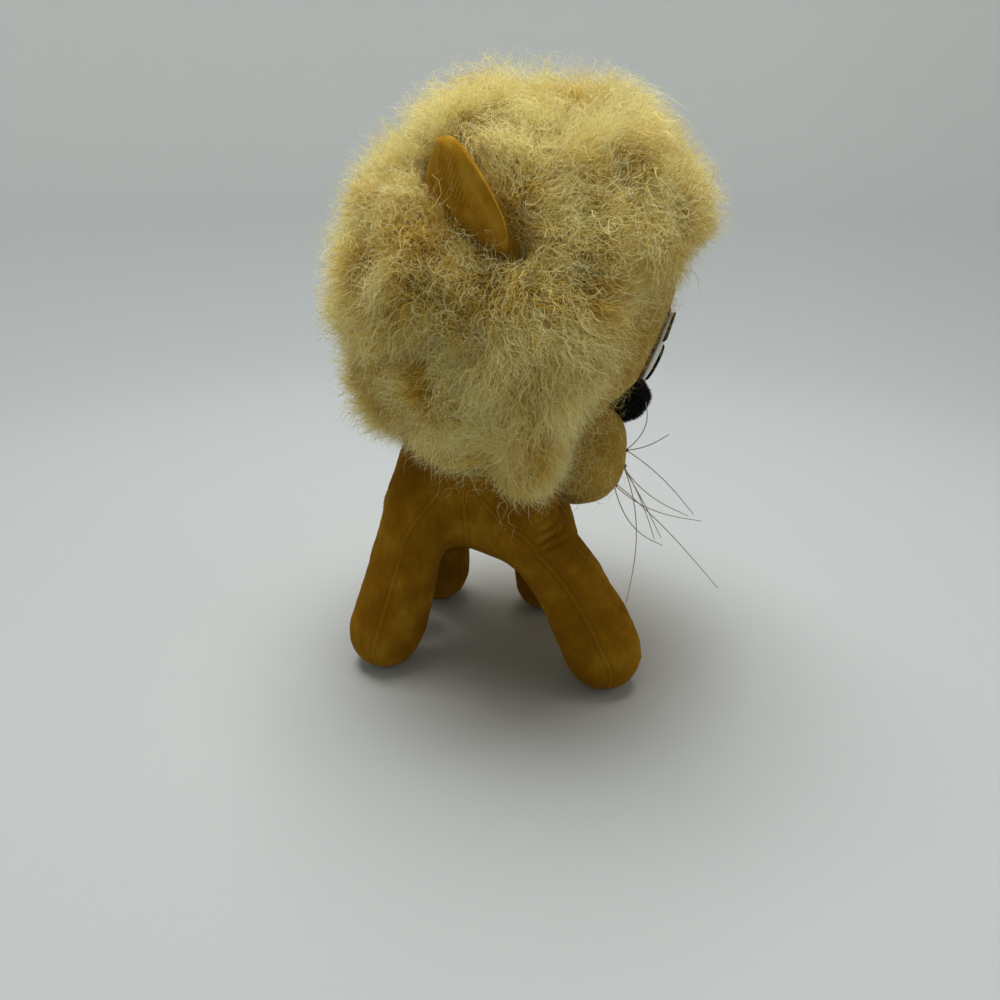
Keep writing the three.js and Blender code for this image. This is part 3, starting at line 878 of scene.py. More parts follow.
def relaxed(points: Array, quads: Array, passes: int, share: float = 0.5) -> Array:
    """Points drawn towards their neighbours, which rounds inner corners.

    Args:
        points: the points.
        quads: the faces that join them.
        passes: how many times.
        share: how far towards the neighbours each time.

    Returns:
        The moved points.
    """
    edges = np.concatenate([quads[:, [i, (i + 1) % 4]] for i in range(4)])
    count = np.bincount(edges.ravel(), minlength=len(points))[:, None]
    for _ in range(passes):
        sums = np.zeros_like(points)
        np.add.at(sums, edges[:, 0], points[edges[:, 1]])
        np.add.at(sums, edges[:, 1], points[edges[:, 0]])
        points = points + share * (sums / count - points)
    return points


@dataclass(frozen=True)
class StuffingRun:
    """A short run of cloth over its stuffing, held along its seams."""

    pressure: float = 4.0
    frames: int = 20
    slack: float = 0.03
    most: float = 1.2
    scale: float = 20.0
    evened: int = 14

    def swollen(self, points: Array, quads: Array, held: Array) -> Array:
        """The cloth after the stuffing has pressed it out.

        Args:
            points: the cloth's points in millimetres.
            quads: its faces.
            held: the rows of the points that are held.

        Returns:
            The moved points.
        """
        form = mesh_object("stuffing_run", points * MM * self.scale, quads)
        group = form.vertex_groups.new(name="sewn")
        group.add([int(row) for row in held], 1.0, "REPLACE")
        cloth = form.modifiers.new("cloth", "CLOTH")
        cloth.settings.vertex_group_mass = "sewn"
        cloth.settings.use_pressure = True
        cloth.settings.uniform_pressure_force = self.pressure
        cloth.settings.shrink_min = -self.slack
        cloth.settings.effector_weights.gravity = 0.0
        cloth.point_cache.frame_start, cloth.point_cache.frame_end = 1, self.frames
        for number in range(1, self.frames + 1):
            bpy.context.scene.frame_set(number)
        found = taken_mesh(form)[0] / (MM * self.scale)
        bpy.context.scene.frame_set(1)
        move = relaxed(found - points, quads, self.evened)
        length = np.linalg.norm(move, axis=1, keepdims=True)
        LOG.info("stuffing moved the cloth %.2f mm on average", float(length.mean()))
        return points + move * np.minimum(1.0, self.most / np.maximum(length, 1e-9))


@dataclass(frozen=True)
class Seam:
    """How a sewn line draws the cloth in, or stands out of it where its depth is below zero."""

    depth: float = 0.3
    width: float = 0.42
    lip: float = 0.2
    pucker: float = 0.07
    pucker_reach: float = 2.0
    pucker_pitch: float = 2.3
    stitch_pitch: float = 1.5
    lip_place: float = 2.2
    crease_share: float = 0.55
    rubbed_share: float = 0.5
    step: float = 0.25

    def snapped(self, line: Array, points: Array, triangles: Array) -> Array:
        """A line laid on a skin, with a point at each step.

        Args:
            line: rough points of the line.
            points: the skin's points.
            triangles: the skin's triangles.

        Returns:
            Points on the skin.
        """
        skin = BVHTree.FromPolygons(points.tolist(), triangles.tolist())
        rough = smooth_line(line, 60)
        length = float(np.linalg.norm(np.diff(rough, axis=0), axis=1).sum())
        dense = smooth_line(line, max(8, int(length / self.step)))
        return np.array([skin.find_nearest(Vector(point))[0] for point in dense])

    def drawn(self, points: Array, quads: Array,
              lines: list[Array]) -> tuple[Array, dict[str, Array]]:
        """A skin with its sewn lines.

        Args:
            points: the skin's points in millimetres.
            quads: its faces.
            lines: the lines on it.

        Returns:
            The moved points, and how strong the painted shade and the painted highlight are at
            each.
        """
        triangles = split_quads(quads)
        normals = point_normals(points, triangles)
        move = np.zeros(len(points))
        masks = {"crease": np.zeros(len(points)), "rubbed": np.zeros(len(points))}
        for number, line in enumerate(lines):
            row, distance = nearest(points, self.snapped(line, points, triangles))
            run = row * self.step
            phase = 2 * math.pi * run / self.pucker_pitch
            stitch = 0.75 + 0.25 * np.cos(2 * math.pi * run / self.stitch_pitch)
            groove = np.exp(-((distance / self.width) ** 2))
            lips = np.exp(-(((distance - self.lip_place * self.width) / self.width) ** 2))
            gather = np.exp(-distance / self.pucker_reach) * (1 - groove)
            wobble = np.sin(phase + 2.0 * np.sin(run * 0.37 + number))
            move += -self.depth * groove * stitch + self.lip * lips + self.pucker * gather * wobble
            # Painted shade in the groove and painted highlight on the lips; where the seam stands
            # out as a ridge, painted highlight on the ridge and painted shade beside it.
            low, high = groove * stitch, lips
            if self.depth < 0:
                low, high = 0.6 * lips, groove * stitch
            masks["crease"] = np.maximum(masks["crease"], self.crease_share * low)
            masks["rubbed"] = np.maximum(masks["rubbed"], self.rubbed_share * high)
        return points + normals * move[:, None], masks


# The body


@dataclass(frozen=True)
class Leg:
    """One stuffed leg, from its root in the torso down to its foot."""

    hand: Hand
    root: Pair
    steps: Triple
    seam_turn: float
    seam_top: tuple[Triple, ...]
    outward: tuple[float, float, float, float] = (15.0, 17.2, 20.2, 22.5)
    heights: Triple = (42.0, 27.5, 11.5)
    radii: tuple[float, float, float, float] = (10.6, 10.8, 11.2, 12.0)
    points: int = 30

    def line(self, count: int) -> Array:
        """The leg's middle line.

        Args:
            count: how many points it gets.

        Returns:
            The points.
        """
        ways = [self.root, *zip(self.steps, self.heights)]
        side = self.hand.value
        return smooth_line(np.array([at(side * x, y, z) for x, (y, z) in
                                     zip(self.outward, ways)]), count)

    def form(self) -> Mesh:
        """The leg's rounded form."""
        radii = np.interp(np.linspace(0, 3, self.points), range(4), self.radii)
        return capped_rings(limb_rings(self.line(self.points), radii, sides=40, caps=9))

    def seam(self, inner: bool) -> Array:
        """The seam down one side of the leg to the middle of its sole.

        Args:
            inner: whether it is the seam that faces the other leg.

        Returns:
            Rough points of the seam.
        """
        side = self.hand.value * (-1 if inner else 1)
        turn = math.radians(self.seam_turn)
        line = self.line(12)[2:]
        away = at(side * math.cos(turn), -math.sin(turn), 0.0)
        radius = self.radii[-1]
        points = [spot + away * radius for spot in line]
        foot = line[-1]
        points.append(foot + unit(away + at(0, 0, -1.2)) * radius)
        points.append(foot + at(0, 0, -radius))
        top = [] if inner else [at(self.hand.value * x, y, z) for x, y, z in self.seam_top]
        return np.array(top + points)


@dataclass(frozen=True)
class Folds:
    """A patch of small folds where the cloth is pressed together."""

    spot: Triple
    height: float
    reach: float
    pitch: float
    slant: float

    def raised(self, points: Array) -> Array:
        """How high the folds stand on both sides of the lion.

        Args:
            points: the skin's points.

        Returns:
            A height for each point.
        """
        height = np.zeros(len(points))
        for hand in Hand:
            spot = self.spot * hand.flip
            distance = np.linalg.norm(points - spot, axis=1)
            height += self.height * np.exp(-((distance / self.reach) ** 2)) * np.sin(
                2 * math.pi * (points[:, 2] + self.slant * points[:, 1]) / self.pitch)
        return height


HIND_SEAM_TOP = ((17.5, 8.0, 75.0), (21.2, 14.9, 64.5), (25.4, 20.4, 57.5))
FRONT_SEAM_TOP = ((20.5, 2.0, 62.0), (18.9, -5.3, 54.8), (25.6, -12.5, 51.5))
GUSSET_SEAM = ((19.0, -17.0, 60.0), (18.0, -21.0, 54.8), (21.5, -21.8, 52.7),
               (25.4, -18.6, 50.3), (26.6, -15.6, 48.8))
GUSSET_DART = ((20.6, -22.7, 52.5), (21.3, -26.4, 48.7), (21.6, -30.0, 44.9))
BELLY_SEAM = ((-21.9, 7.4, 60.0), (-20.5, 7.4, 52.0), (0.0, 7.4, 40.0), (20.5, 7.4, 52.0),
              (21.9, 7.4, 60.0))


@dataclass
class StuffedBody:
    """The torso and four legs, one skin of velveteen over firm stuffing."""

    middle: Triple = (0.0, 6.5, 62.5)
    half: Triple = (22.0, 26.5, 19.5)
    squareness: float = 2.3
    neck_z: float = 80.3
    belly_middle: Triple = (0.0, 6.0, 55.0)
    belly_half: Triple = (19.5, 20.0, 16.0)
    belly_squareness: float = 2.6
    chest_middle: Triple = (0.0, -3.0, 52.0)
    chest_half: Triple = (20.0, 14.0, 16.5)
    voxel: float = 1.9
    legs: tuple[Leg, ...] = (
        Leg(Hand.RIGHT, (-7.0, 53.0), (-19.0, -29.5, -37.5), 14.0, FRONT_SEAM_TOP),
        Leg(Hand.LEFT, (-7.0, 53.0), (-11.5, -14.5, -14.5), 14.0, FRONT_SEAM_TOP),
        Leg(Hand.RIGHT, (22.0, 60.0), (26.8, 30.8, 35.4), -3.0, HIND_SEAM_TOP),
        Leg(Hand.LEFT, (22.0, 60.0), (25.0, 27.3, 28.5), -3.0, HIND_SEAM_TOP),
    )
    finish: NappedCloth = BODY_VELVETEEN
    seam: Seam = field(default_factory=lambda: Seam(depth=-0.15, width=0.38, lip=-0.08))
    stuffing: StuffingRun = field(default_factory=StuffingRun)
    rounding: int = 20
    fullness: float = 0.75
    unevenness: float = 0.16
    fine_unevenness: float = 0.03
    held_beside_seams: float = 1.1
    folds: tuple[Folds, ...] = (
        Folds((22.5, -19.0, 51.5), 0.55, 4.6, 2.7, 0.35),
        Folds((21.5, 23.2, 38.5), 0.2, 6.5, 2.4, -0.3))

    def form(self) -> Mesh:
        """The plain forms that the skin goes round.

        Returns:
            Their points and faces.
        """
        torso = oval_rings(self.middle, self.half, sides=80, rings=44,
                           squareness=self.squareness)
        torso[..., 2] = torso[..., 2].clip(max=self.neck_z)
        belly = oval_rings(self.belly_middle, self.belly_half, sides=64, rings=32,
                           squareness=self.belly_squareness)
        chest = oval_rings(self.chest_middle, self.chest_half, sides=64, rings=32,
                           squareness=self.squareness)
        return joined([capped_rings(torso), capped_rings(belly), capped_rings(chest)]
                      + [leg.form() for leg in self.legs])

    def seam_lines(self) -> list[Array]:
        """The seams of the legs, the gussets over the front legs and the belly.

        Returns:
            Rough points of every seam.
        """
        lines = [leg.seam(inner) for leg in self.legs for inner in (False, True)]
        lines += [np.array(seam) * hand.flip
                  for hand in Hand for seam in (GUSSET_SEAM, GUSSET_DART)]
        return lines + [np.array(BELLY_SEAM)]

    def near_seams(self, points: Array, quads: Array) -> Array:
        """The rows of the points that seams, soles and neck hold still.

        Args:
            points: the skin's points.
            quads: its faces.

        Returns:
            The rows.
        """
        triangles = split_quads(quads)
        laid = np.concatenate([self.seam.snapped(line, points, triangles)
                               for line in self.seam_lines()])
        seam = laid[nearest(points, laid)[0]]
        close = np.linalg.norm(points - seam, axis=1) < self.held_beside_seams
        return np.nonzero(close | (points[:, 2] < 1.0) | (points[:, 2] > self.neck_z - 1.0))[0]

    def build(self) -> None:
        """Makes the skin."""
        points, quads = self.form()
        points, quads = modified(points * MM, quads, "REMESH", mode="VOXEL",
                                 voxel_size=self.voxel * MM)
        points = relaxed(points / MM, quads, self.rounding)
        normals = point_normals(points, split_quads(quads))
        points = points + normals * self.fullness
        points = self.stuffing.swollen(points, quads, self.near_seams(points, quads))
        points = relaxed(points, quads, passes=2)
        points, quads = modified(points * MM, quads, "SUBSURF", levels=2, render_levels=2)
        points, masks = self.seam.drawn(points / MM, quads, self.seam_lines())
        normals = point_normals(points, split_quads(quads))
        soft = self.unevenness * SoftNoise(21, size=16.0)(points)[:, 0]
        soft = soft + self.fine_unevenness * SoftNoise(22, size=3.2)(points)[:, 0]
        folds = sum(patch.raised(points) for patch in self.folds)
        points = points + normals * (soft + folds)[:, None]
        # Painted shade in the valleys of the folds.
        masks["crease"] = np.maximum(masks["crease"], (-1.2 * folds).clip(0.0, 0.6))
        points[:, 2] = points[:, 2].clip(0.0, self.neck_z)
        made = piece("body_skin", (points, quads), self.finish, Body.BODY, Slot.BODY_VELVETEEN,
                     "torso", "front_right_leg", "front_left_leg", "hind_right_leg",
                     "hind_left_leg", masks=masks)


# Pile


@dataclass(frozen=True)
class PileStyle:
    """How one sort of fibre grows."""

    strands: int
    length: float
    width: float
    levels: int = 9
    spread: float = 0.2
    lift: float = 1.0
    lean: float = 0.5
    sag: float = 0.2
    tuft_pull: float = 0.6
    lock_pull: float = 0.55
    curl: float = 1.0
    curl_pitch: float = 9.5
    stray: float = 0.35
    tint: float = 0.5
    tint_spread: float = 0.12


@dataclass
class Roots:
    """Where fibres leave the cloth, and how they lie there."""

    points: Array
    normals: Array
    flows: Array
    lengths: Array
    tints: Array


def sampled(points: Array, triangles: Array, share: Array | None, count: int,
            rng: np.random.Generator) -> tuple[Array, Array]:
    """Places spread over a skin.

    Args:
        points: the skin's points.
        triangles: its triangles.
        share: how densely each triangle is covered, or None for evenly.
        count: how many places.
        rng: the draw to use.

    Returns:
        The places and the skin's normals there.
    """
    normals = point_normals(points, triangles)
    a, b, c = (points[triangles[:, i]] for i in range(3))
    area = np.linalg.norm(np.cross(b - a, c - a), axis=1)
    area = area if share is None else area * share
    row = rng.choice(len(triangles), size=count, p=area / area.sum())
    s, t = np.sqrt(rng.uniform(size=count)), rng.uniform(size=count)
    weights = np.stack([1 - s, s * (1 - t), s * t], axis=1)[..., None]
    spots = (points[triangles[row]] * weights).sum(axis=1)
    return spots, unit((normals[triangles[row]] * weights).sum(axis=1))


class PileGrower:
    """Grows fibres in locks and tufts from their roots."""

    phase_spread = 1.1
    lock_sway = 0.45
    tuft_sway = 0.7
    lock_closing = 0.7
    tuft_closing = 0.45
    lock_scales = (0.4, 1.4)
    tuft_band = (0.1, 1.0)
    lock_band = (0.05, 0.9)
    hold_range = (0.2, 1.4)
    end_lift = 0.55
    end_lean = 0.35
    facing_spread = 0.7
    width_range = (0.65, 1.35)
    taper = 2.2

    def __init__(self, seed: int) -> None:
        """Starts the draw of random numbers."""
        self.rng = np.random.default_rng(seed)

    def paths(self, roots: Roots, style: PileStyle, levels: Array, phase: Array) -> Array:
        """The free paths of fibres.

        Args:
            roots: their roots.
            style: how they grow.
            levels: places along each fibre, from 0 to 1.
            phase: the phase of each fibre's curl.

        Returns:
            An array of fibres by levels by three, in millimetres.
        """
        normals, flows = roots.normals, roots.flows
        start = unit(normals * style.lift + flows * style.lean)
        end = unit(normals * style.lift * self.end_lift + flows * (style.lean + self.end_lean)
                   + at(0, 0, -style.sag))
        t = levels[None, :, None]
        run = start[:, None] * t + (end - start)[:, None] * t**2 / 2
        path = roots.points[:, None] + run * roots.lengths[:, None, None]
        across = unit(np.cross(start, normals * 0.3 + flows + 1e-3))
        around = np.cross(start, across)
        turns = (roots.lengths / style.curl_pitch)[:, None] * levels[None, :]
        angle = phase[:, None] + 2 * math.pi * turns
        size = style.curl * smooth_step(0.0, 0.5, levels)[None, :, None]
        wave = np.cos(angle)[..., None] * across[:, None]
        wave = wave + np.sin(angle)[..., None] * around[:, None]
        return path + size * wave

    def swayed(self, roots: Roots, sway: float) -> Roots:
        """Roots whose fibres lean each its own way.

        Args:
            roots: the roots as sown.
            sway: how far they lean.

        Returns:
            The leaning roots.
        """
        way = self.rng.normal(size=roots.points.shape) * sway
        return Roots(roots.points, unit(roots.normals + way * 0.6), roots.flows + way,
                     roots.lengths, roots.tints)

    def strands(self, roots: Roots, style: PileStyle, locks: Roots, tufts: Roots) -> Array:
        """Fibres gathered into locks, and the locks into tufts.

        Args:
            roots: the fibres' roots.
            style: how they grow.
            locks: the roots of the locks' middles.
            tufts: the roots of the tufts' middles.

        Returns:
            An array of fibres by levels by three.
        """
        rng = self.rng
        count = len(roots.points)
        levels = np.linspace(0.0, 1.0, style.levels)
        lock = nearest(roots.points, locks.points)[0]
        tuft = nearest(locks.points, tufts.points)[0]
        number = len(locks.points)
        phase = np.random.default_rng(number).uniform(0, 2 * math.pi, number)
        free = self.paths(self.swayed(roots, style.stray), style, levels,
                          phase[lock] + rng.normal(size=count) * self.phase_spread)
        steady = PileGrower(number)
        lock_line = steady.paths(steady.swayed(locks, self.lock_sway), style, levels, phase)
        tuft_line = steady.paths(steady.swayed(tufts, self.tuft_sway), style, levels,
                                 phase[:len(tufts.points)])
        pull = style.tuft_pull * smooth_step(*self.tuft_band, levels)[None, :, None]
        offset = (locks.points - tufts.points[tuft])[:, None]
        offset = offset * (1 - self.tuft_closing * levels[None, :, None])
        lock_line = lock_line * (1 - pull) + (tuft_line[tuft] + offset) * pull
        strength = style.lock_pull * rng.uniform(*self.hold_range, count).clip(0, 1)
        pull = strength[:, None, None] * smooth_step(*self.lock_band, levels)[None, :, None]
        foot = locks.points[lock][:, None]
        offset = (roots.points[:, None] - foot) * (1 - self.lock_closing * levels[None, :, None])
        scale = (roots.lengths / locks.lengths[lock]).clip(*self.lock_scales)[:, None, None]
        gathered = foot + (lock_line[lock] - foot) * scale
        return free * (1 - pull) + (gathered + offset) * pull

    def ribbons(self, paths: Array, normals: Array, width: float,
                tints: Array) -> tuple[Array, Array, Array]:
        """Thin tapered ribbons along the fibres.

        Args:
            paths: fibres by levels by three, in millimetres.
            normals: the cloth's normal at each root.
            width: the widest place of a fibre.
            tints: a tint from 0 to 1 for each fibre.

        Returns:
            The points, the triangles and a UV pair for each point.
        """
        rng = self.rng
        count, levels = paths.shape[:2]
        along = np.gradient(paths, axis=1)
        facing = unit(normals + rng.normal(size=normals.shape) * self.facing_spread)[:, None]
        side = unit(np.cross(along, facing))
        place = np.linspace(0.0, 1.0, levels)
        taper = (1.0 - place**self.taper)[None, :, None] * 0.5 * width
        taper = taper * rng.uniform(*self.width_range, size=(count, 1, 1))
        left, right = paths - side * taper, paths + side * taper
        body = np.stack([left[:, :-1], right[:, :-1]], axis=2).reshape(count, -1, 3)
        points = np.concatenate([body, paths[:, -1:]], axis=1)
        per = points.shape[1]
        faces = []
        for i in range(levels - 2):
            a, b, c, d = 2 * i, 2 * i + 1, 2 * i + 3, 2 * i + 2
            faces += [(a, b, c), (a, c, d)]
        faces.append((per - 3, per - 2, per - 1))
        triangles = np.array(faces)[None] + (np.arange(count) * per)[:, None, None]
        uv = np.empty((count, per, 2))
        uv[..., 0] = tints[:, None]
        uv[..., 1] = np.concatenate([np.repeat(place[:-1], 2), [1.0]])[None]
        return points.reshape(-1, 3), triangles.reshape(-1, 3), uv.reshape(-1, 2)


def pile_piece(name: str, parts: tuple[Array, Array, Array], finish: Finish, body: Body,
               slot: Slot) -> None:
    """Makes a piece of pile.

    Args:
        name: its name.
        parts: its points, its triangles and a UV pair for each point.
        finish: its finish.
        body: the body it rides on.
        slot: the record's slot of its finish.
    """
    points, triangles, uv = parts
    made = piece(name, (points, triangles), finish, body, slot)
    layer = made.data.uv_layers.new(name="OFBake")
    layer.data.foreach_set("uv", uv[triangles.ravel()].astype(np.float32).ravel())



# The face


@dataclass
class Head:
    """The stuffed ball that carries the face."""

    middle: Triple = (0.0, -8.0, 121.0)
    half: Triple = (42.0, 44.0, 44.0)
    cheek: Triple = (15.0, -44.0, 97.0)
    cheek_rise: float = 1.3
    cheek_reach: float = 11.0
    brow: Triple = (0.0, -50.0, 128.0)
    brow_rise: float = 5.2
    brow_reach: float = 16.0
    seam_heights: Pair = (152.0, 92.0)
    finish: NappedCloth = FACE_VELVETEEN
    seam: Seam = field(default_factory=lambda: Seam(depth=0.3, lip=0.08, pucker=0.05))

    def surface(self, side: Array, z: Array, above: Array | float = 0.0) -> Array:
        """Points over the front of the head.

        Args:
            side: how far left of the middle.
            z: the heights.
            above: how far over the skin.

        Returns:
            The points.
        """
        across = side / self.half[0]
        climb = (z - self.middle[2]) / self.half[2]
        y = self.middle[1] - self.half[1] * np.sqrt((1 - across**2 - climb**2).clip(0.0))
        return self.risen(np.stack([side, y, z], axis=-1), above)

    def risen(self, points: Array, above: Array | float = 0.0) -> Array:
        """Points of the plain ball, moved out over the brow and the cheeks.

        Args:
            points: the points.
            above: how much further each point is moved.

        Returns:
            The moved points.
        """
        spots = [(self.brow, self.brow_rise, self.brow_reach)]
        spots += [(self.cheek * hand.flip, self.cheek_rise, self.cheek_reach)
                  for hand in Hand]
        rise = sum(rise * np.exp(-((np.linalg.norm(points - spot, axis=-1) / reach) ** 2))
                   for spot, rise, reach in spots)
        away = unit((points - self.middle) / np.array(self.half) ** 2)
        return points + away * (rise + above)[..., None]

    def build(self) -> None:
        """Makes the skin of the head."""
        points, quads = capped_rings(oval_rings(self.middle, self.half, sides=220, rings=130))
        heights = np.linspace(*self.seam_heights, 12)
        middle = self.surface(np.zeros_like(heights), heights)
        points, masks = self.seam.drawn(self.risen(points), quads, [middle])
        made = piece("head_skin", (points, quads), self.finish, Body.HEAD,
                     Slot.FACE_VELVETEEN, "head", masks=masks)


@dataclass
class Muzzle:
    """The stuffed pouch under the face."""

    middle: Triple = (0.0, -29.0, 69.0)
    half: Triple = (18.7, 15.2, 18.7)
    squareness: float = 2.15
    unevenness: float = 0.2
    finish: NappedCloth = FACE_VELVETEEN
    seam: Seam = field(default_factory=lambda: Seam(depth=0.5, lip=0.15, pucker=0.08))

    def point(self, side: float, z: float) -> Array:
        """A point of its front.

        Args:
            side: its place left of the middle.
            z: its height.

        Returns:
            The point.
        """
        share = 1 - abs(side / self.half[0]) ** self.squareness
        share -= abs((z - self.middle[2]) / self.half[2]) ** self.squareness
        forward = self.half[1] * max(share, 0.0) ** (1 / self.squareness)
        return at(side, self.middle[1] - forward, z)

    def mouth(self) -> list[Array]:
        """The seams that show.

        Returns:
            The lines down the middle and along the two curves of the mouth.
        """
        lines = [np.array([self.point(0.0, z) for z in np.linspace(85.0, 60.0, 8)])]
        for hand in Hand:
            curve = [(0.0, 60.5), (3.0, 58.3), (6.5, 57.6), (9.5, 58.8)]
            lines.append(np.array([self.point(hand.value * x, z) for x, z in curve]))
        return lines

    def build(self) -> None:
        """Makes the pouch."""
        points, quads = capped_rings(oval_rings(self.middle, self.half, sides=150, rings=96,
                                                squareness=self.squareness))
        points, masks = self.seam.drawn(points, quads, self.mouth())
        soft = self.unevenness * SoftNoise(31, size=14.0)(points)
        points = points + unit(points - self.middle) * soft
        made = piece("muzzle_skin", (points, quads), self.finish, Body.HEAD,
                     Slot.FACE_VELVETEEN, "muzzle", masks=masks)


@dataclass
class Nose:
    """The ball of black short pile at the front of the face."""

    middle: Triple = (0.0, -44.0, 85.5)
    half: Triple = (7.5, 8.0, 7.9)
    hairs: int = 9000
    length: float = 1.1
    length_range: Pair = (0.5, 1.2)
    width: float = 0.14
    spread: float = 0.45
    unevenness: float = 0.2
    finish: NappedCloth = NOSE_VELVET
    pile: PileFibre = NOSE_PILE

    def build(self) -> None:
        """Makes the ball and its short pile."""
        points, quads = capped_rings(oval_rings(self.middle, self.half, sides=72, rings=48))
        lumps = self.unevenness * SoftNoise(41, size=5.0)(points)
        points = points + unit(points - self.middle) * lumps
        made = piece("nose_ball", (points, quads), self.finish, Body.HEAD, Slot.NOSE_VELVET,
                     "nose")
        rng = np.random.default_rng(42)
        spots, normals = sampled(points, split_quads(quads), None, self.hairs, rng)
        level = np.linspace(0, 1, 3)[None, :, None]
        ways = unit(normals + rng.normal(size=normals.shape) * self.spread)[:, None]
        length = self.length * rng.uniform(*self.length_range, size=(self.hairs, 1, 1))
        paths = spots[:, None] + ways * level * length
        parts = PileGrower(43).ribbons(paths, normals, self.width, rng.uniform(size=self.hairs))
        pile_piece("nose_pile", parts, self.pile, Body.HEAD, Slot.NOSE_VELVET)


@dataclass(frozen=True)
class FeltPatch:
    """A cut shape of felt lying on the head."""

    side: float
    z: float
    half: Pair
    low: float
    high: float
    above_z: float | None = None
    sides: int = 96
    under_shares: Triple = (0.0, 0.5, 0.9)
    over_shares: tuple[float, ...] = (0.86, 0.7, 0.45, 0.2, 0.0)

    def mesh(self, head: Head, hand: Hand) -> Mesh:
        """The patch's closed form.

        Args:
            head: the head that it lies on.
            hand: the side of the face.

        Returns:
            Its points and faces.
        """
        turn = np.linspace(0, 2 * math.pi, self.sides, endpoint=False)
        outline = np.stack([self.half[0] * np.cos(turn), self.half[1] * np.sin(turn)], axis=-1)
        centre = np.zeros(2)
        if self.above_z is not None:
            floor = self.above_z - self.z
            outline[:, 1] = outline[:, 1].clip(min=floor)
            centre = np.array([0.0, (floor + self.half[1]) / 2])
        thick = self.high - self.low
        steps = [(share, self.low) for share in self.under_shares]
        for lean in np.linspace(-math.pi / 2, math.pi / 2, 7):
            share = 1 - (thick / 2) * (1 - math.cos(lean)) / min(self.half)
            steps.append((share, (self.low + self.high) / 2 + thick / 2 * math.sin(lean)))
        steps += [(share, self.high) for share in self.over_shares]
        rings = []
        for share, above in steps:
            flat = centre + (outline - centre) * share
            side = hand.value * (self.side + flat[:, 0])
            rings.append(head.surface(side, self.z + flat[:, 1], np.full(len(flat), above)))
        return capped_rings(np.stack(rings))


@dataclass
class Eyes:
    """Each eye in layers of felt: a rim, the white, a lid and a pupil."""

    head: Head
    side: float = 14.0
    z: float = 106.0

    def build(self) -> None:
        """Makes both eyes."""
        rim = FeltPatch(self.side, self.z, half=(9.4, 10.4), low=-0.3, high=0.5)
        white = FeltPatch(self.side, self.z, half=(8.3, 9.3), low=0.5, high=1.6)
        lid = FeltPatch(self.side, self.z, half=(8.4, 9.4), low=1.6, high=2.2, above_z=109.0)
        pupil = FeltPatch(side=13.0, z=101.5, half=(4.6, 4.8), low=1.6, high=2.5)
        layers = [("eye_rim", rim, BROWN_FELT, Slot.BROWN_FELT),
                  ("eye_white", white, WHITE_FELT, Slot.WHITE_FELT),
                  ("eyelid", lid, BROWN_FELT, Slot.BROWN_FELT),
                  ("pupil", pupil, BLACK_FELT, Slot.BLACK_FELT)]
        for hand in Hand:
            for name, patch, felt, slot in layers:
                node = f"{hand.word}_{name}"
                piece(f"{node}_felt", patch.mesh(self.head, hand), felt, Body.HEAD, slot, node)


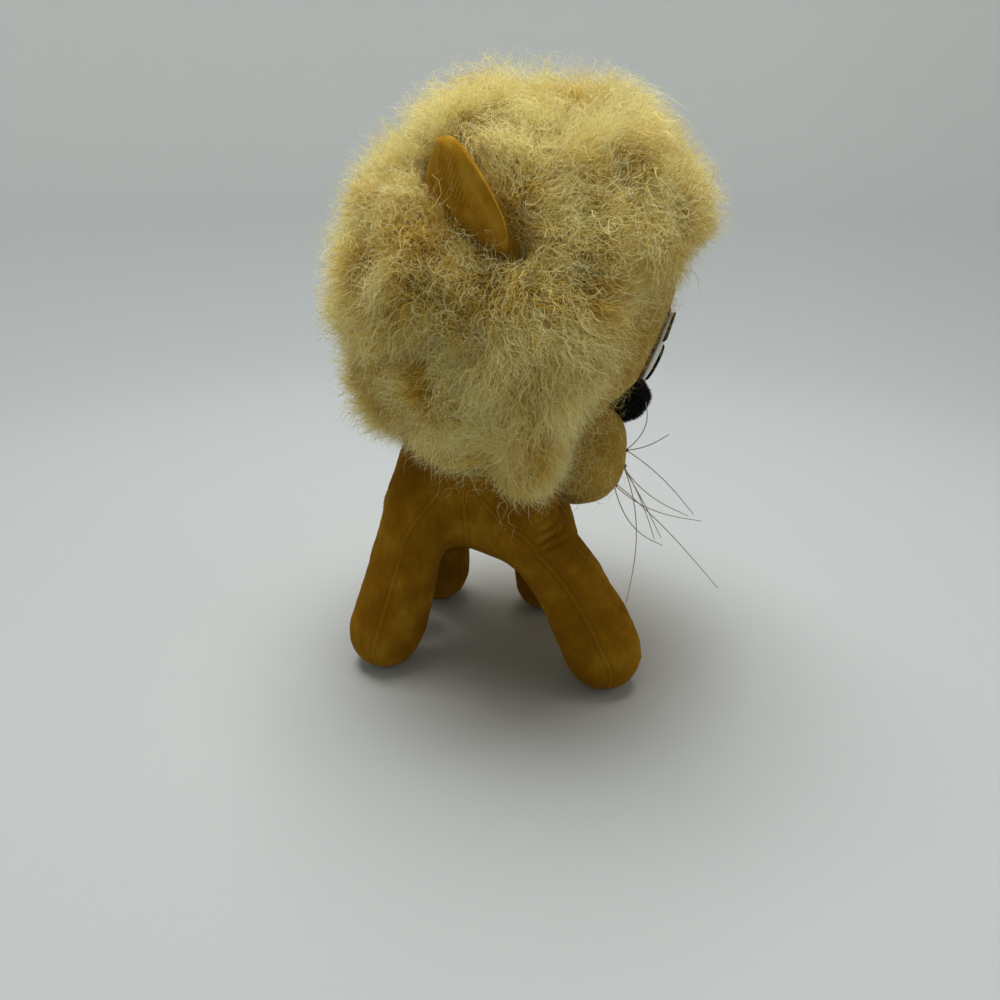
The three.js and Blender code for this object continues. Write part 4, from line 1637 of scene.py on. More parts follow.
@dataclass
class Ears:
    """Two cupped ears, each a back and a lining sewn together along their rim."""

    foot: Triple = (31.0, 13.4, 144.5)
    tilt: float = 28.0
    sweep: float = 2.0
    width: float = 31.0
    height: float = 22.0
    end_height: float = 5.0
    cup: float = 4.2
    buried: float = 8.0
    lean: Pair = (11.5, 26.8)
    back_thickness: float = 1.7
    lining_thickness: float = 1.2
    rib_height: float = 0.17
    rib_pitch: float = 1.15
    rib_wander: float = 1.2
    rib_bands: tuple[Pair, Pair, Pair, Pair] = ((0.08, 0.3), (0.98, 0.6), (0.1, 0.3), (0.97, 0.75))
    rib_limits: Pair = (0.1, 1.2)
    rib_shade: float = 0.6
    rim_reach: float = 1.5
    rim_round: float = 0.9
    columns: int = 150
    rows: int = 84

    def directions(self, hand: Hand) -> tuple[Array, Array, Array]:
        """The ear's own three directions.

        Args:
            hand: the ear's side.

        Returns:
            The ways that it stands out, that its seam runs and that it faces.
        """
        side = hand.value
        tilt, sweep = math.radians(self.tilt), math.radians(self.sweep)
        out = at(side * math.cos(tilt) * math.cos(sweep), -math.cos(tilt) * math.sin(sweep),
                 math.sin(tilt))
        run = at(0, self.lean[0], self.lean[1])
        run = unit(run - out * np.dot(run, out))
        return out, run, np.cross(out, run) * side

    def surface(self, hand: Hand, u: Array, v: Array) -> Array:
        """Points of the sheet between back and lining.

        Args:
            hand: the ear's side.
            u: places along the seam, from 0 to 1.
            v: places from the seam to the rim, from 0 to 1.

        Returns:
            The points.
        """
        out, run, front = self.directions(hand)
        along = hand.value * (1 - 2 * u)
        crown = np.sqrt((1 - along**2).clip(0.0))
        height = self.end_height + (self.height - self.end_height) * crown
        cup = self.cup * (along**2 - 1) * (1 - v**2 / 2)
        foot = self.foot * hand.flip
        parts = [(run, along * self.width / 2), (out, v * height - self.buried * (1 - v)),
                 (front, cup)]
        return foot + sum(size[..., None] * way for way, size in parts)

    def layer(self, hand: Hand, low: float, high: float, ribs: float, roll: float,
              reach: float) -> tuple[Array, Array, Array]:
        """One layer of an ear as a closed form.

        Args:
            hand: the ear's side.
            low: where the layer starts, in front of the sheet.
            high: where it ends.
            ribs: the height of the fine creases on its back.
            roll: how far its rim rolls forward.
            reach: how much of the ear it covers.

        Returns:
            Its points, its faces and how dark the painted shade in the rib valleys is at each
            point.
        """
        u, v = np.meshgrid(np.linspace(0.0, 1.0, self.columns),
                           np.linspace(0.0, 1.0, self.rows), indexing="ij")
        spots = self.surface(hand, 0.5 + (u - 0.5) * reach, v * reach)
        du, dv = np.gradient(spots, axis=0), np.gradient(spots, axis=1)
        front = unit(np.cross(dv, du)) * hand.value
        ends = np.minimum(u, 1 - u) * self.width
        rim = np.minimum((1 - v) * self.height, ends)
        thick = high - low
        full = np.sqrt((1 - (1 - (rim / (self.rim_round * thick)).clip(0.0, 1.0)) ** 2).clip(0.0))
        centre = (low + high) / 2 + roll * np.exp(-((rim / self.rim_reach) ** 2))
        run = u * self.width
        wave = np.sin(2 * math.pi * (run + self.rib_wander * np.sin(v * 3.0)) / self.rib_pitch)
        region = math.prod(smooth_step(*band, place)
                           for band, place in zip(self.rib_bands, (u, u, v, v)))
        strength = 0.5 + 0.5 * SoftNoise(51, size=9.0)(spots.reshape(-1, 3))[:, 0].reshape(u.shape)
        rib = ribs * wave * region * strength.clip(*self.rib_limits)
        near = spots + front * (centre - full * thick / 2 - rib)[..., None]
        far = spots + front * (centre + full * thick / 2)[..., None]
        rings = np.concatenate([near, far[:, ::-1]], axis=1)
        # Painted shade in the valleys of the ribs on the ear's back.
        crease = np.concatenate([(-rib / max(ribs, 1e-9)).clip(0.0, 1.0) * self.rib_shade,
                                 np.zeros_like(rib)], axis=1)
        points, quads = capped_rings(rings)
        return points, quads, crease.ravel()

    def build(self) -> None:
        """Makes both ears."""
        back = {"low": -self.back_thickness, "high": 0.2, "ribs": self.rib_height, "roll": 1.2,
                "reach": 1.0}
        lining = {"low": 0.3, "high": 0.3 + self.lining_thickness, "ribs": 0.0, "roll": 0.0,
                  "reach": 0.9}
        layers = [("ear_back", back, EAR_VELVETEEN), ("ear_lining", lining, FACE_VELVETEEN)]
        for hand in Hand:
            for name, sizes, cloth in layers:
                node = f"{hand.word}_{name}"
                points, quads, crease = self.layer(hand, **sizes)
                piece(f"{node}_cloth", (points, quads), cloth, Body.HEAD, Slot.EAR_VELVETEEN,
                      node, masks={"crease": crease})


@dataclass(frozen=True)
class Whisker:
    """One whisker, by how far it goes from its knot, as shares of the reach."""

    forward: float
    outward: float
    up: float
    bow_forward: float
    bow_up: float = 0.0


RIGHT_WHISKERS = {
    "upper": (Whisker(0.075, 0.125, 0.45, 0.1), Whisker(0.275, 0.175, 0.175, 0.025, -0.03),
              Whisker(0.55, 0.2, -0.55, 0.04, 0.02)),
    "middle": (Whisker(0.475, 0.25, -0.375, -0.025, -0.06),
               Whisker(0.275, 0.225, -0.575, 0.025, -0.02),
               Whisker(0.175, 0.3, -0.55, 0.05, -0.05), Whisker(0.1, 0.03, -1.32, 0.125, 0.0)),
    "lower": (Whisker(0.7, 0.2, -0.3, -0.025, -0.08), Whisker(0.35, 0.25, -0.475, -0.04, -0.12),
              Whisker(0.85, 0.35, -0.9, 0.025, 0.03)),
}
LEFT_WHISKERS = {
    "upper": (Whisker(0.1, 0.6, 0.3, 0.05), Whisker(0.05, 0.75, -0.05, 0.075)),
    "middle": (Whisker(0.15, 0.7, -0.35, 0.05), Whisker(0.1, 0.5, -0.6, 0.05)),
    "lower": (Whisker(0.15, 0.45, -0.45, 0.05), Whisker(0.05, 0.6, -0.25, 0.075)),
}


@dataclass
class Whiskers:
    """Knots of nylon whiskers in the sides of the muzzle."""

    muzzle: Muzzle
    reach: float = 40.0
    radius: float = 0.18
    thinning: float = 0.3
    sunk: float = 0.8
    bow_power: float = 1.2
    points: int = 28
    knot_radius: float = 0.62
    knot_shape: Triple = (1.0, 0.7, 1.0)
    finish: Hardware = WHISKER_NYLON
    knots: dict[str, Pair] = field(default_factory=lambda: {
        "upper": (0.486, 0.054), "middle": (0.54, -0.216), "lower": (0.486, -0.595)})
    tufts: dict[Hand, dict[str, tuple[Whisker, ...]]] = field(default_factory=lambda: {
        Hand.RIGHT: RIGHT_WHISKERS, Hand.LEFT: LEFT_WHISKERS})

    def strand(self, root: Array, hand: Hand, whisker: Whisker) -> Mesh:
        """One whisker as a thin tapering tube.

        Args:
            root: where it leaves the muzzle.
            hand: its side.
            whisker: how it runs.

        Returns:
            Its points and faces.
        """
        t = np.linspace(0.0, 1.0, self.points)[:, None]
        tip = at(hand.value * whisker.outward, -whisker.forward, whisker.up) * self.reach
        bow = at(0.0, -whisker.bow_forward, whisker.bow_up) * self.reach
        start = unit(root - self.muzzle.middle) * -self.sunk
        line = root + start * (1 - t) + tip * t + bow * 4 * t * (1 - t) ** self.bow_power
        radii = self.radius * (1 - self.thinning * t[:, 0] ** 2)
        return capped_rings(limb_rings(line, radii, sides=8, caps=3))

    def build(self) -> None:
        """Makes the six knots of whiskers."""
        for hand in Hand:
            for place, strands in self.tufts[hand].items():
                side, rise = self.knots[place]
                z = self.muzzle.middle[2] + rise * self.muzzle.half[2]
                root = self.muzzle.point(hand.value * side * self.muzzle.half[0], z)
                spread = [at(0.0, 0.25 * (i % 2), 0.35 * i - 0.4) for i in range(len(strands))]
                parts = [self.strand(root + shift, hand, whisker)
                         for shift, whisker in zip(spread, strands)]
                sizes = self.knot_radius * at(*self.knot_shape)
                knot = capped_rings(oval_rings(root, sizes, sides=16, rings=10))
                points, quads = joined(parts + [knot])
                # The knot at the root of each tuft takes the nylon's darker knot colour.
                dark = np.zeros(len(points))
                dark[-len(knot[0]):] = 1.0
                node = f"{hand.word}_whiskers_{place}"
                piece(f"{node}_strands", (points, quads), self.finish, Body.HEAD,
                      Slot.WHISKER_NYLON, node, masks={"crease": dark})


# The mane, the tail and the neck


def first_true(mask: Array) -> Array:
    """The first true place in each row, or the number of places where none is."""
    return np.where(mask.any(axis=1), mask.argmax(axis=1), mask.shape[1])


@dataclass
class Mane:
    """The hood of long pile round the head, with its cloth and its fibres."""

    head: Head
    muzzle: Muzzle
    ears: Ears
    seed: int = 11
    finish: PileFibre = MANE_PILE
    ground: NappedCloth = PILE_GROUND
    # The cloth
    middle: Triple = (0.0, -9.5, 121.0)
    half: Triple = (44.0, 47.0, 47.0)
    lower_squareness: float = 2.7
    lumps: tuple[tuple[int, float, float], ...] = ((61, 27.0, 1.2), (62, 12.0, 1.3))
    swell_share: float = 0.5
    forwards: Triple = (-0.22, -0.975, 0.0)
    upwards: Triple = (0.397, -0.09, 0.914)
    profile: Table = (
        (0.0, 5.0), (10.0, 5.5), (20.0, 1.5), (45.0, 3.0), (65.0, 4.5), (80.0, 1.0), (95.0, -3.5),
        (112.0, -0.5), (120.0, 2.5), (130.0, -6.5), (150.0, -2.0), (165.0, -2.5), (178.0, 4.0),
        (192.0, -4.0), (212.0, -5.0), (228.0, -9.0), (238.0, -3.0), (257.0, 0.0), (265.0, 6.0),
        (276.0, 7.5), (288.0, 5.0), (305.0, 1.0), (340.0, 2.0))
    under_face: float = 1.5
    dip: Pair = (6.0, 20.0)
    # The edge of the face opening, and the neck hole
    edge: Table = (
        (66.0, 10.0), (72.0, 16.5), (79.0, 19.0), (86.0, 20.0), (93.0, 22.5), (98.0, 26.0),
        (103.0, 31.0), (110.0, 35.0), (119.0, 39.0), (131.0, 41.5), (140.0, 50.0),
        (146.0, 66.0), (152.0, 95.0))
    edge_side: float = 35.0
    edge_turn: float = 0.47
    sown: Pair = (4.0, 21.0)
    sown_power: float = 1.5
    hem_radius: float = 22.0
    hem_z: float = 83.0
    # Where the pile is cut
    hem_line: Table = (
        (-50.0, -42.0), (-43.0, -45.0), (-34.0, -53.0), (-22.0, -54.5), (-12.5, -54.0),
        (-8.0, -60.0), (-3.5, -66.5), (8.0, -67.5), (14.0, -62.5), (20.0, -59.0))
    hem_view: float = 230.0
    hem_straggle: float = 1.7
    hem_strays: float = 0.02
    free_reach: float = 62.0
    pulled_in: float = 0.6
    reach_band: Pair = (-0.45, -0.1)
    face_room: float = 3.0
    face_straggle: float = 1.5
    brow_overhang: float = 9.0
    brow_heights: Pair = (127.0, 140.0)
    uncut: float = 0.03
    shortest_share: float = 0.22
    ear_reach: float = 34.0
    ear_hollow: float = 5.6
    ear_gap: float = 1.9
    # How it lies
    rim_band: Pair = (24.0, 5.0)
    brow_band: Pair = (0.15, 0.45)
    crown_band: Pair = (0.45, 0.95)
    down_flow: Triple = (0.0, -0.05, -0.75)
    brow_flow: Triple = (0.0, -1.3, 0.5)
    cheek_flow: Triple = (0.0, 0.8, 0.0)
    wide_flow: float = 0.9
    fine_flow: float = 0.85
    crown_flow: float = 0.7
    # How long it is
    plain_length: float = 17.0
    wide_length: float = 1.6
    lump_length: float = 2.4
    cheek_shortening: float = 12.5
    brow_lengthening: float = 4.5
    under_band: Pair = (-0.3, -0.8)
    under_lengthening: float = 3.0
    swell_lengthening: float = 1.3
    least_length: float = 3.5
    # How pale it is, with painted light: paler where it faces the lamp above and along its lower
    # fringe
    plain_tint: float = 0.53
    light_tint: float = 0.5
    uneven_tint: float = 0.24
    lit_band: Pair = (0.3, 1.0)
    under_lit_band: Pair = (-0.45, -0.85)
    under_lit: float = 0.8
    lit_from: Triple = (0.0, 0.2, 0.98)
    # Its fibres
    per_piece: int = 190000
    lock_count: int = 6500
    tuft_count: int = 300
    sorts: tuple[PileStyle, ...] = (
        PileStyle(strands=75000, length=0.7, width=0.21, levels=7, curl=0.7, tint=0.22),
        PileStyle(strands=80000, length=1.0, width=0.19, lock_pull=0.6, tuft_pull=0.75,
                  curl=1.1, tint=0.5),
        PileStyle(strands=46000, length=1.06, width=0.17, levels=12, lock_pull=0.25,
                  tuft_pull=0.5, curl=1.5, curl_pitch=10.0, stray=0.7, tint=0.95))
    # The sparse fibres on the face
    fuzz: PileStyle = PileStyle(strands=13000, length=1.0, width=0.1, lift=0.5, lean=0.6,
                                lock_pull=0.0, tuft_pull=0.0, curl=1.1, curl_pitch=5.0,
                                stray=0.9, tint=0.85, tint_spread=0.2)
    cheek_lengths: Pair = (3.0, 7.5)
    cheek_uncut: float = 0.8
    cheek_bands: tuple[Pair, Pair] = ((-7.0, 6.0), (26.0, 14.0))
    fuzz_spot: Triple = (12.0, -44.0, 86.0)
    fuzz_spot_share: float = 0.8
    fuzz_spot_reach: float = 5.0
    muzzle_fuzz: int = 4200
    muzzle_lengths: Pair = (3.5, 8.0)
    muzzle_bands: tuple[Pair, Pair] = ((-40.0, -22.0), (54.0, 76.0))

    def edge_room(self, points: Array) -> Array:
        """How far behind the edge of the face opening points lie.

        Args:
            points: the points.

        Returns:
            The distances in millimetres.
        """
        limit = read_off(self.edge, points[..., 2])
        limit = limit + self.edge_turn * (self.edge_side - np.abs(points[..., 0]))
        return limit + points[..., 1]

    def swell(self, away: Array) -> Array:
        """How much further than its plain form the mane reaches, in millimetres.

        Args:
            away: directions from the middle of the mane.

        Returns:
            The swell in each direction.
        """
        ahead, rise = away @ np.array(self.forwards), away @ np.array(self.upwards)
        size = read_off(self.profile, np.degrees(np.arctan2(rise, ahead)), period=360.0)
        return size * np.hypot(ahead, rise) ** 2

    def cloth(self, sides: int, rings: int) -> Mesh:
        """The cloth that the pile grows from, dipping under the skin of the face.

        Args:
            sides: points round each ring.
            rings: rings from bottom to top.

        Returns:
            Its points and faces.
        """
        full = oval_rings(self.middle, self.half, sides, rings, below=self.lower_squareness)
        low = oval_rings(self.head.middle, np.array(self.head.half) - self.under_face, sides,
                         rings)
        flat = full.reshape(-1, 3)
        away = unit(flat - self.middle)
        lumps = sum(height * SoftNoise(seed, size)(flat) for seed, size, height in self.lumps)
        lumps = lumps + self.swell_share * self.swell(away)[:, None].clip(0.0)
        full = (flat + away * lumps).reshape(full.shape)
        keep = smooth_step(*self.dip, self.edge_room(full))[..., None]
        return capped_rings(full * keep + low * (1 - keep))

    def lie(self, points: Array, normals: Array) -> Roots:
        """The lie, length and tint of the pile.

        Args:
            points: places on the cloth.
            normals: the cloth's normals there.

        Returns:
            The roots.
        """
        away = unit(points - self.middle)
        flow = at(*self.down_flow) + self.wide_flow * SoftNoise(3, size=24.0, outputs=3)(points)
        flow = flow + self.fine_flow * SoftNoise(4, size=8.0, outputs=3)(points)
        room = self.edge_room(points)
        near = smooth_step(*self.rim_band, room)
        brow = near * smooth_step(*self.brow_band, away[:, 2])
        flow = flow + brow[:, None] * at(*self.brow_flow)
        flow = flow + (near - brow)[:, None] * at(*self.cheek_flow)
        flow = unit(flow - normals * (flow * normals).sum(axis=1, keepdims=True))
        lump = SoftNoise(6, size=9.0)(points)[:, 0]
        length = self.plain_length + self.wide_length * SoftNoise(5, size=22.0)(points)[:, 0]
        length = length + self.lump_length * lump
        length = length - self.cheek_shortening * (near - brow) + self.brow_lengthening * brow
        length = length + self.under_lengthening * smooth_step(*self.under_band, away[:, 2])
        swell = self.swell(away)
        swell = swell - self.swell_share * swell.clip(0.0)
        length = length + self.swell_lengthening * swell * (1 - near + brow)
        # Painted light: the pile is paler where it faces the lamp above and along its lower
        # fringe.
        light = smooth_step(*self.lit_band, away @ unit(at(*self.lit_from)))
        light = light + self.under_lit * smooth_step(*self.under_lit_band, away[:, 2])
        uneven = SoftNoise(7, size=15.0)(points)[:, 0] + lump
        tint = self.plain_tint + self.light_tint * light + self.uneven_tint * uneven
        crown = smooth_step(*self.crown_band, away[:, 2])
        flow = flow * (1 + self.crown_flow * crown)[:, None]
        return Roots(points, normals, flow, length.clip(self.least_length), tint)

    def roots(self, count: int, rng: np.random.Generator, cloth: Mesh) -> Roots:
        """Roots spread over the cloth, thinning out towards the face.

        Args:
            count: how many.
            rng: the draw to use.
            cloth: the cloth's points and triangles.

        Returns:
            The roots.
        """
        points, triangles = cloth
        middles = points[triangles].mean(axis=1)
        share = smooth_step(*self.sown, self.edge_room(middles)) ** self.sown_power
        around = np.hypot(middles[:, 0], middles[:, 1])
        share = share * ~((around < self.hem_radius) & (middles[:, 2] < self.hem_z))
        return self.lie(*sampled(points, triangles, share, count, rng))

    def trimmed(self, paths: Array, free: float, rng: np.random.Generator) -> tuple[Array, Array]:
        """Fibres cut back where they would hang over the face or pass through an ear.

        Args:
            paths: the fibres.
            free: the share of them that is left uncut.
            rng: the draw to use.

        Returns:
            The fibres, and which of them to keep.
        """
        count, levels = paths.shape[:2]
        offset = paths - self.middle
        reach = np.linalg.norm(offset, axis=-1, keepdims=True)
        upper = smooth_step(*self.reach_band, offset[..., 2:] / reach)
        past = (reach - self.free_reach).clip(0.0)
        paths = paths - offset / reach * self.pulled_in * upper * past
        room = self.edge_room(paths)
        overhang = self.brow_overhang * smooth_step(*self.brow_heights, paths[:, :1, 2])
        straggle = rng.exponential(self.face_straggle, size=(count, 1))
        over = room < self.face_room - overhang - straggle
        over &= (rng.uniform(size=count) > free)[:, None]
        over |= self.below_hem(offset, rng)
        first = np.minimum(first_true(over), self.ear_levels(paths))
        share = ((first - 0.5) / (levels - 1)).clip(0.0, 1.0)
        place = share[:, None] * np.arange(levels)
        k = place.astype(int).clip(0, levels - 2)
        t = (place - k)[..., None]
        rows = np.arange(count)[:, None]
        cut = paths[rows, k] * (1 - t) + paths[rows, k + 1] * t
        return cut, share > self.shortest_share

    def below_hem(self, offset: Array, rng: np.random.Generator) -> Array:
        """Where the fibres hang below the uneven line that the pile is clipped along.

        Args:
            offset: the fibres, from the middle of the mane.
            rng: the draw to use.

        Returns:
            Whether each place on each fibre hangs too low.
        """
        towards = np.cross(self.forwards, self.upwards)
        scale = self.hem_view / (self.hem_view - offset @ towards)
        ahead, rise = (offset @ np.array(way) * scale for way in (self.forwards, self.upwards))
        each = (len(offset), 1)
        limit = read_off(self.hem_line, ahead) - rng.exponential(self.hem_straggle, size=each)
        return (rise < limit) & (rng.uniform(size=each) > self.hem_strays)

    def ear_levels(self, paths: Array) -> Array:
        """The first place along each fibre where it meets an ear.

        Args:
            paths: the fibres.

        Returns:
            A level for each fibre, or the number of levels where it meets none.
        """
        count, levels = paths.shape[:2]
        found = np.full(count, levels)
        u, v = (grid.ravel() for grid in np.meshgrid(np.linspace(0.02, 0.98, 44),
                                                     np.linspace(0.0, 1.0, 28)))
        for hand in Hand:
            sheet = self.ears.surface(hand, u, v)
            reach = np.linalg.norm(paths[:, 0] - sheet.mean(axis=0), axis=1)
            near = np.nonzero(reach < self.ear_reach)[0]
            if not len(near):
                continue
            spots = paths[near].reshape(-1, 3)
            row, gap = nearest(spots, sheet)
            ahead = ((spots - sheet[row]) * self.ears.directions(hand)[2]).sum(axis=1) > 0
            met = gap < np.where(ahead, self.ear_hollow, self.ear_gap)
            found[near] = np.minimum(found[near], first_true(met.reshape(-1, levels)))
        return found

    def build_cloth(self) -> None:
        """Makes the cloth that the pile grows from."""
        mesh = self.cloth(sides=150, rings=100)
        made = piece("mane_cloth", mesh, self.ground, Body.HEAD, Slot.PILE, "mane")

    def build_pile(self) -> None:
        """Makes the pile in three sorts of fibre, in pieces of even size."""
        rng = np.random.default_rng(self.seed)
        grower = PileGrower(self.seed + 1)
        points, quads = self.cloth(sides=260, rings=170)
        cloth = (points, split_quads(quads))
        locks = self.roots(self.lock_count, rng, cloth)
        tufts = self.roots(self.tuft_count, rng, cloth)
        number = 0
        for style in self.sorts:
            most = self.per_piece // (2 * style.levels - 3)
            for first in range(0, style.strands, most):
                count = min(most, style.strands - first)
                roots = self.roots(count, rng, cloth)
                spread = rng.uniform(1 - style.spread, 1 + style.spread, count)
                roots.lengths = roots.lengths * style.length * spread
                paths = grower.strands(roots, style, locks, tufts)
                paths, keep = self.trimmed(paths, self.uncut, rng)
                tints = roots.tints + style.tint - 0.5
                tints = tints + rng.normal(size=count) * style.tint_spread
                number += 1
                self.add_piece(f"mane_pile_{number:02d}", grower, paths[keep],
                               roots.normals[keep], style.width, tints[keep])

    def add_piece(self, name: str, grower: PileGrower, paths: Array, normals: Array,
                  width: float, tints: Array) -> None:
        """Makes one piece of pile.

        Args:
            name: its name.
            grower: what makes the ribbons.
            paths: the fibres.
            normals: the cloth's normals at their roots.
            width: a fibre's width.
            tints: the fibres' tints.
        """
        parts = grower.ribbons(paths, normals, width, tints.clip(0.02, 0.98))
        pile_piece(name, parts, self.finish, Body.HEAD, Slot.PILE)

    def add_fuzz(self, name: str, grower: PileGrower, places: tuple[Array, Array],
                 lengths: Pair, trim: np.random.Generator | None) -> None:
        """Makes one piece of sparse fibres, each going its own way.

        Args:
            name: its name.
            grower: what grows them.
            places: their roots and the skin's normals there.
            lengths: the shortest and the longest.
            trim: the draw for their trimming, where they are trimmed.
        """
        rng = grower.rng
        roots = self.lie(*places)
        count = len(roots.points)
        roots.lengths = rng.uniform(*lengths, count)
        levels = np.linspace(0.0, 1.0, self.fuzz.levels)
        phase = rng.uniform(0, 2 * math.pi, count)
        paths = grower.paths(grower.swayed(roots, self.fuzz.stray), self.fuzz, levels, phase)
        tints = self.fuzz.tint + self.fuzz.tint_spread * rng.normal(size=count)
        keep = np.full(count, True)
        if trim is not None:
            paths, keep = self.trimmed(paths, self.cheek_uncut, trim)
        self.add_piece(name, grower, paths[keep], roots.normals[keep], self.fuzz.width,
                       tints[keep])

    def build_fuzz(self) -> None:
        """Makes the sparse fine fibres that run out over the cheeks and beside the nose."""
        rng = np.random.default_rng(self.seed + 5)
        grower = PileGrower(self.seed + 6)
        points, quads = capped_rings(oval_rings(self.head.middle, self.head.half, sides=200,
                                                rings=120))
        triangles = split_quads(quads)
        middles = points[triangles].mean(axis=1)
        room = self.edge_room(middles)
        beside = np.linalg.norm(np.abs(middles) - np.abs(self.fuzz_spot), axis=1)
        share = math.prod(smooth_step(*band, room) for band in self.cheek_bands)
        spot = self.fuzz_spot_share * np.exp(-((beside / self.fuzz_spot_reach) ** 2))
        share = np.maximum(share, spot)
        places = sampled(points, triangles, share, self.fuzz.strands, rng)
        self.add_fuzz("cheek_pile", grower, places, self.cheek_lengths, rng)
        points, quads = capped_rings(oval_rings(self.muzzle.middle, self.muzzle.half, sides=120,
                                                rings=80, squareness=self.muzzle.squareness))
        triangles = split_quads(quads)
        middles = points[triangles].mean(axis=1)
        back, up = self.muzzle_bands
        share = smooth_step(*back, middles[:, 1]) * smooth_step(*up, middles[:, 2])
        places = sampled(points, triangles, share, self.muzzle_fuzz, rng)
        self.add_fuzz("muzzle_pile", grower, places, self.muzzle_lengths, None)

    def build(self) -> None:
        """Makes the whole mane."""
        self.build_cloth()
        self.build_pile()
        self.build_fuzz()


@dataclass
class Tail:
    """A thin stuffed tail with a tuft of pile on its end."""

    stations: Table = ((33.0, 56.5), (37.2, 50.0), (37.2, 41.0), (34.5, 27.0))
    radius: float = 3.1
    unevenness: float = 0.03
    points: int = 90
    seam: Seam = field(default_factory=lambda: Seam(
        depth=0.3, width=0.4, lip=0.1, pucker=0.08, pucker_reach=1.6))
    tuft_middle: Triple = (0.0, 33.5, 19.0)
    tuft_half: Triple = (3.2, 3.2, 6.0)
    lengths: Pair = (5.0, 8.0)
    shorter_between: Pair = (5.0, 16.0)
    least_length: float = 3.0
    sway: float = 0.25
    lock_count: int = 160
    tuft_count: int = 14
    tint_spread: float = 0.18
    seed: int = 71
    finish: NappedCloth = BODY_VELVETEEN
    pile: PileFibre = MANE_PILE
    style: PileStyle = PileStyle(strands=7000, length=1.0, width=0.13, lift=0.7, lean=0.9,
                                 curl=0.6, curl_pitch=6.0, sag=0.1)

    def build_cord(self) -> None:
        """Makes the tail's sewn tube."""
        line = smooth_line(np.array([at(0, y, z) for y, z in self.stations]), self.points)
        radii = self.radius * (1 + self.unevenness * np.sin(np.linspace(0, 14, self.points)))
        points, quads = capped_rings(limb_rings(line, radii, sides=72, caps=12))
        behind = line[4:] + at(0.0, self.radius, 0.0)
        points, masks = self.seam.drawn(points, quads, [behind])
        made = piece("tail_skin", (points, quads), self.finish, Body.TAIL,
                     Slot.BODY_VELVETEEN, "tail", masks=masks)

    def build_tuft(self) -> None:
        """Makes the tuft's core and its fibres."""
        points, quads = capped_rings(oval_rings(self.tuft_middle, self.tuft_half, sides=48,
                                                rings=30))
        made = piece("tail_tuft_core", (points, quads), PILE_GROUND, Body.TAIL, Slot.PILE,
                     "tail_tuft")
        rng = np.random.default_rng(self.seed)
        grower = PileGrower(self.seed + 1)
        places = []
        for count in (self.style.strands, self.lock_count, self.tuft_count):
            spots, normals = sampled(points, split_quads(quads), None, count, rng)
            flow = unit(at(0, 0, -1.0) + self.sway * rng.normal(size=spots.shape))
            length = rng.uniform(*self.lengths, count)
            length = length * smooth_step(*self.shorter_between, spots[:, 2])
            places.append(Roots(spots, normals, flow, length.clip(self.least_length),
                                np.full(count, self.style.tint)))
        fibres, locks, tufts = places
        paths = grower.strands(fibres, self.style, locks, tufts)
        tints = self.style.tint + self.tint_spread * rng.normal(size=self.style.strands)
        parts = grower.ribbons(paths, fibres.normals, self.style.width, tints.clip(0.02, 0.98))
        pile_piece("tail_tuft_pile", parts, self.pile, Body.TAIL, Slot.PILE)

    def build(self) -> None:
        """Makes the tail and its tuft."""
        self.build_cord()
        self.build_tuft()


@dataclass(frozen=True)
class NeckJoint:
    """The disc joint inside the neck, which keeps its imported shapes."""

    boards: tuple[str, ...] = ("lower_neck_disc", "upper_neck_disc")
    steels: tuple[str, ...] = ("neck_pin", "lower_neck_washer", "upper_neck_washer")

    def build(self) -> None:
        """Gives each part its finish."""
        for names, finish in ((self.boards, FIBREBOARD), (self.steels, NECK_STEEL)):
            for name in names:
                part = bpy.data.objects[name]
                part.data.materials.clear()
                part.data.materials.append(finish.material())
                LOG.info("%s: %s", name, finish.name)


# The studio


@dataclass(frozen=True)
class Camera:
    """The camera where the photograph was taken from, in the body's own frame."""

    place: Triple = (-226.98, -37.17, 155.0)
    azimuth: float = 279.3
    down: float = 24.0
    focal_pixels: float = 751.0
    frame_pixels: float = 1000.0

    def build(self) -> None:
        """Makes the camera and gives it to the scene."""
        data = bpy.data.cameras.new("camera")
        data.sensor_fit = "HORIZONTAL"
        data.sensor_width = 36.0
        data.lens = 36.0 * self.focal_pixels / self.frame_pixels
        data.clip_start, data.clip_end = 0.005, 20.0
        made = bpy.data.objects.new("camera", data)
        bpy.context.scene.collection.objects.link(made)
        made.location = Vector(BODY_PLACE.metres(np.array(self.place)))
        a, d = math.radians(self.azimuth), math.radians(self.down)
        ahead = Vector((-math.sin(a) * math.cos(d), math.cos(a) * math.cos(d), -math.sin(d)))
        made.rotation_mode = "QUATERNION"
        made.rotation_quaternion = ahead.to_track_quat("-Z", "Y")
        bpy.context.scene.camera = made


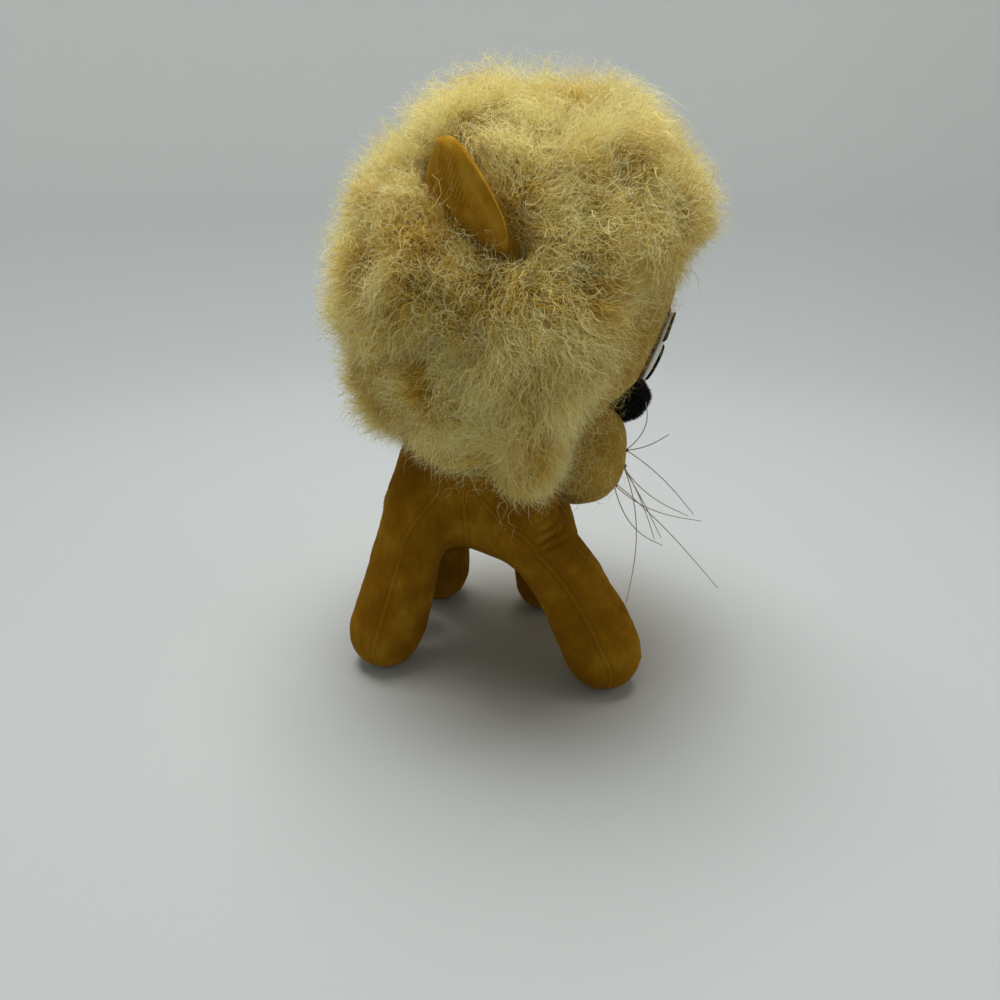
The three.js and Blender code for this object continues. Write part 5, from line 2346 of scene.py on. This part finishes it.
@dataclass(frozen=True)
class SweepPaper(Finish):
    """Painted paper whose tone changes with distance from the lion: painted shadow under it,
    painted light falloff over floor and wall, painted shade on its -Y side.
    """

    name: str = "sweep_paper"
    worn: Triple = (0.36, 0.325, 0.25)
    near: Triple = (0.495, 0.51, 0.50)
    band: Triple = (0.455, 0.475, 0.475)
    far: Triple = (0.385, 0.405, 0.395)
    top: Triple = (0.50, 0.515, 0.50)

    def surface(self, tree: ShaderTree) -> bpy.types.Node:
        """The paper's look.

        Args:
            tree: the material's tree.

        Returns:
            Its last node.
        """
        place = tree.add("TexCoord").outputs["Object"]
        distance = tree.add("VectorMath", {"0": place}, operation="LENGTH").outputs["Value"]
        # Painted shadow under the lion, then painted light falloff: darker towards the bend,
        # lighter again up the wall.
        colour = tree.ramp(distance, [
            (0.0, self.worn), (0.075, self.near), (0.36, self.band), (0.72, self.far),
            (1.0, self.top)])
        # Painted shade on the -Y side of the sweep.
        side = tree.add("SeparateXYZ", {"Vector": place}).outputs["Y"]
        side = tree.math("ADD", tree.math("MULTIPLY", side, 0.5), 0.5)
        painted_side_shade = tree.ramp(side, [(0.15, (0.87, 0.87, 0.87)), (0.4, (1.0, 1.0, 1.0))])
        colour = tree.mix(1.0, colour, painted_side_shade, "MULTIPLY")
        fleck = tree.add("TexNoise", {"Vector": place, "Scale": 900.0, "Detail": 2.0}).outputs[0]
        return tree.add("BsdfPrincipled", {
            "Base Color": colour, "Roughness": 0.85, "Specular IOR Level": 0.15,
            "Normal": tree.bump(0.15, 0.0002, fleck)})


@dataclass(frozen=True)
class Studio:
    """A seamless pale sweep with soft light from above."""

    flat_radius: float = 0.42
    bend_radius: float = 0.45
    wall_height: float = 1.6
    flat_rings: int = 8
    sides: int = 96
    bend_rings: int = 12
    aim: Triple = (0.0, 0.0, 0.09)
    sky: Triple = (0.95, 0.98, 1.0)
    sky_strength: float = 0.13
    paper: SweepPaper = field(default_factory=SweepPaper)

    def build_sweep(self) -> None:
        """Makes the floor and the wall round it as one turned sheet."""
        radii = list(np.linspace(0.0, self.flat_radius, self.flat_rings))
        heights = [0.0] * self.flat_rings
        for lean in np.linspace(0.0, math.pi / 2, self.bend_rings + 1)[1:]:
            radii.append(self.flat_radius + self.bend_radius * math.sin(lean))
            heights.append(self.bend_radius * (1 - math.cos(lean)))
        radii.append(radii[-1])
        heights.append(self.wall_height)
        turn = np.linspace(0, 2 * math.pi, self.sides, endpoint=False)
        rings = np.stack([
            np.stack([r * np.cos(turn), r * np.sin(turn), np.full_like(turn, h)], axis=-1)
            for r, h in zip(radii, heights)])
        points, faces = capped_rings(rings)
        floor = mesh_object("sweep", points, faces)
        floor.data.materials.append(self.paper.material())

    def lamp(self, name: str, place: Triple, size: float, power: float) -> None:
        """Adds a square soft lamp that looks at the lion.

        Args:
            name: its name.
            place: where it hangs, in metres.
            size: its width in metres.
            power: its power in watts.
        """
        data = bpy.data.lights.new(name, "AREA")
        data.shape, data.size, data.energy = "SQUARE", size, power
        made = bpy.data.objects.new(name, data)
        made.location = place
        made.rotation_mode = "QUATERNION"
        aim = Vector(self.aim) - Vector(place)
        made.rotation_quaternion = aim.to_track_quat("-Z", "Y")
        bpy.context.scene.collection.objects.link(made)

    def build(self) -> None:
        """Makes the sweep, the lamps and the plain surroundings."""
        self.build_sweep()
        self.lamp("overhead_lamp", place=(0.12, 0.09, 1.05), size=0.65, power=11.3)
        self.lamp("front_lamp", place=(-0.1, -0.85, 0.5), size=0.6, power=1.3)
        world = bpy.data.worlds.new("plain_world")
        world.use_nodes = True
        backdrop = world.node_tree.nodes["Background"]
        backdrop.inputs["Color"].default_value = opaque(self.sky)
        backdrop.inputs["Strength"].default_value = self.sky_strength
        bpy.context.scene.world = world


def write_sizes() -> None:
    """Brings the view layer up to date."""
    bpy.context.view_layer.update()


def main() -> None:
    """Builds the camera, the studio and the lion."""
    logging.basicConfig(level=logging.INFO, format="%(message)s")
    bpy.context.scene.view_settings.view_transform = "Standard"
    Camera().build()
    Studio().build()
    StuffedBody().build()
    Tail().build()
    head, muzzle, ears = Head(), Muzzle(), Ears()
    head.build()
    muzzle.build()
    Nose().build()
    Eyes(head).build()
    ears.build()
    Whiskers(muzzle).build()
    Mane(head, muzzle, ears).build()
    NeckJoint().build()
    write_sizes()


if __name__ == "__main__":
    main()
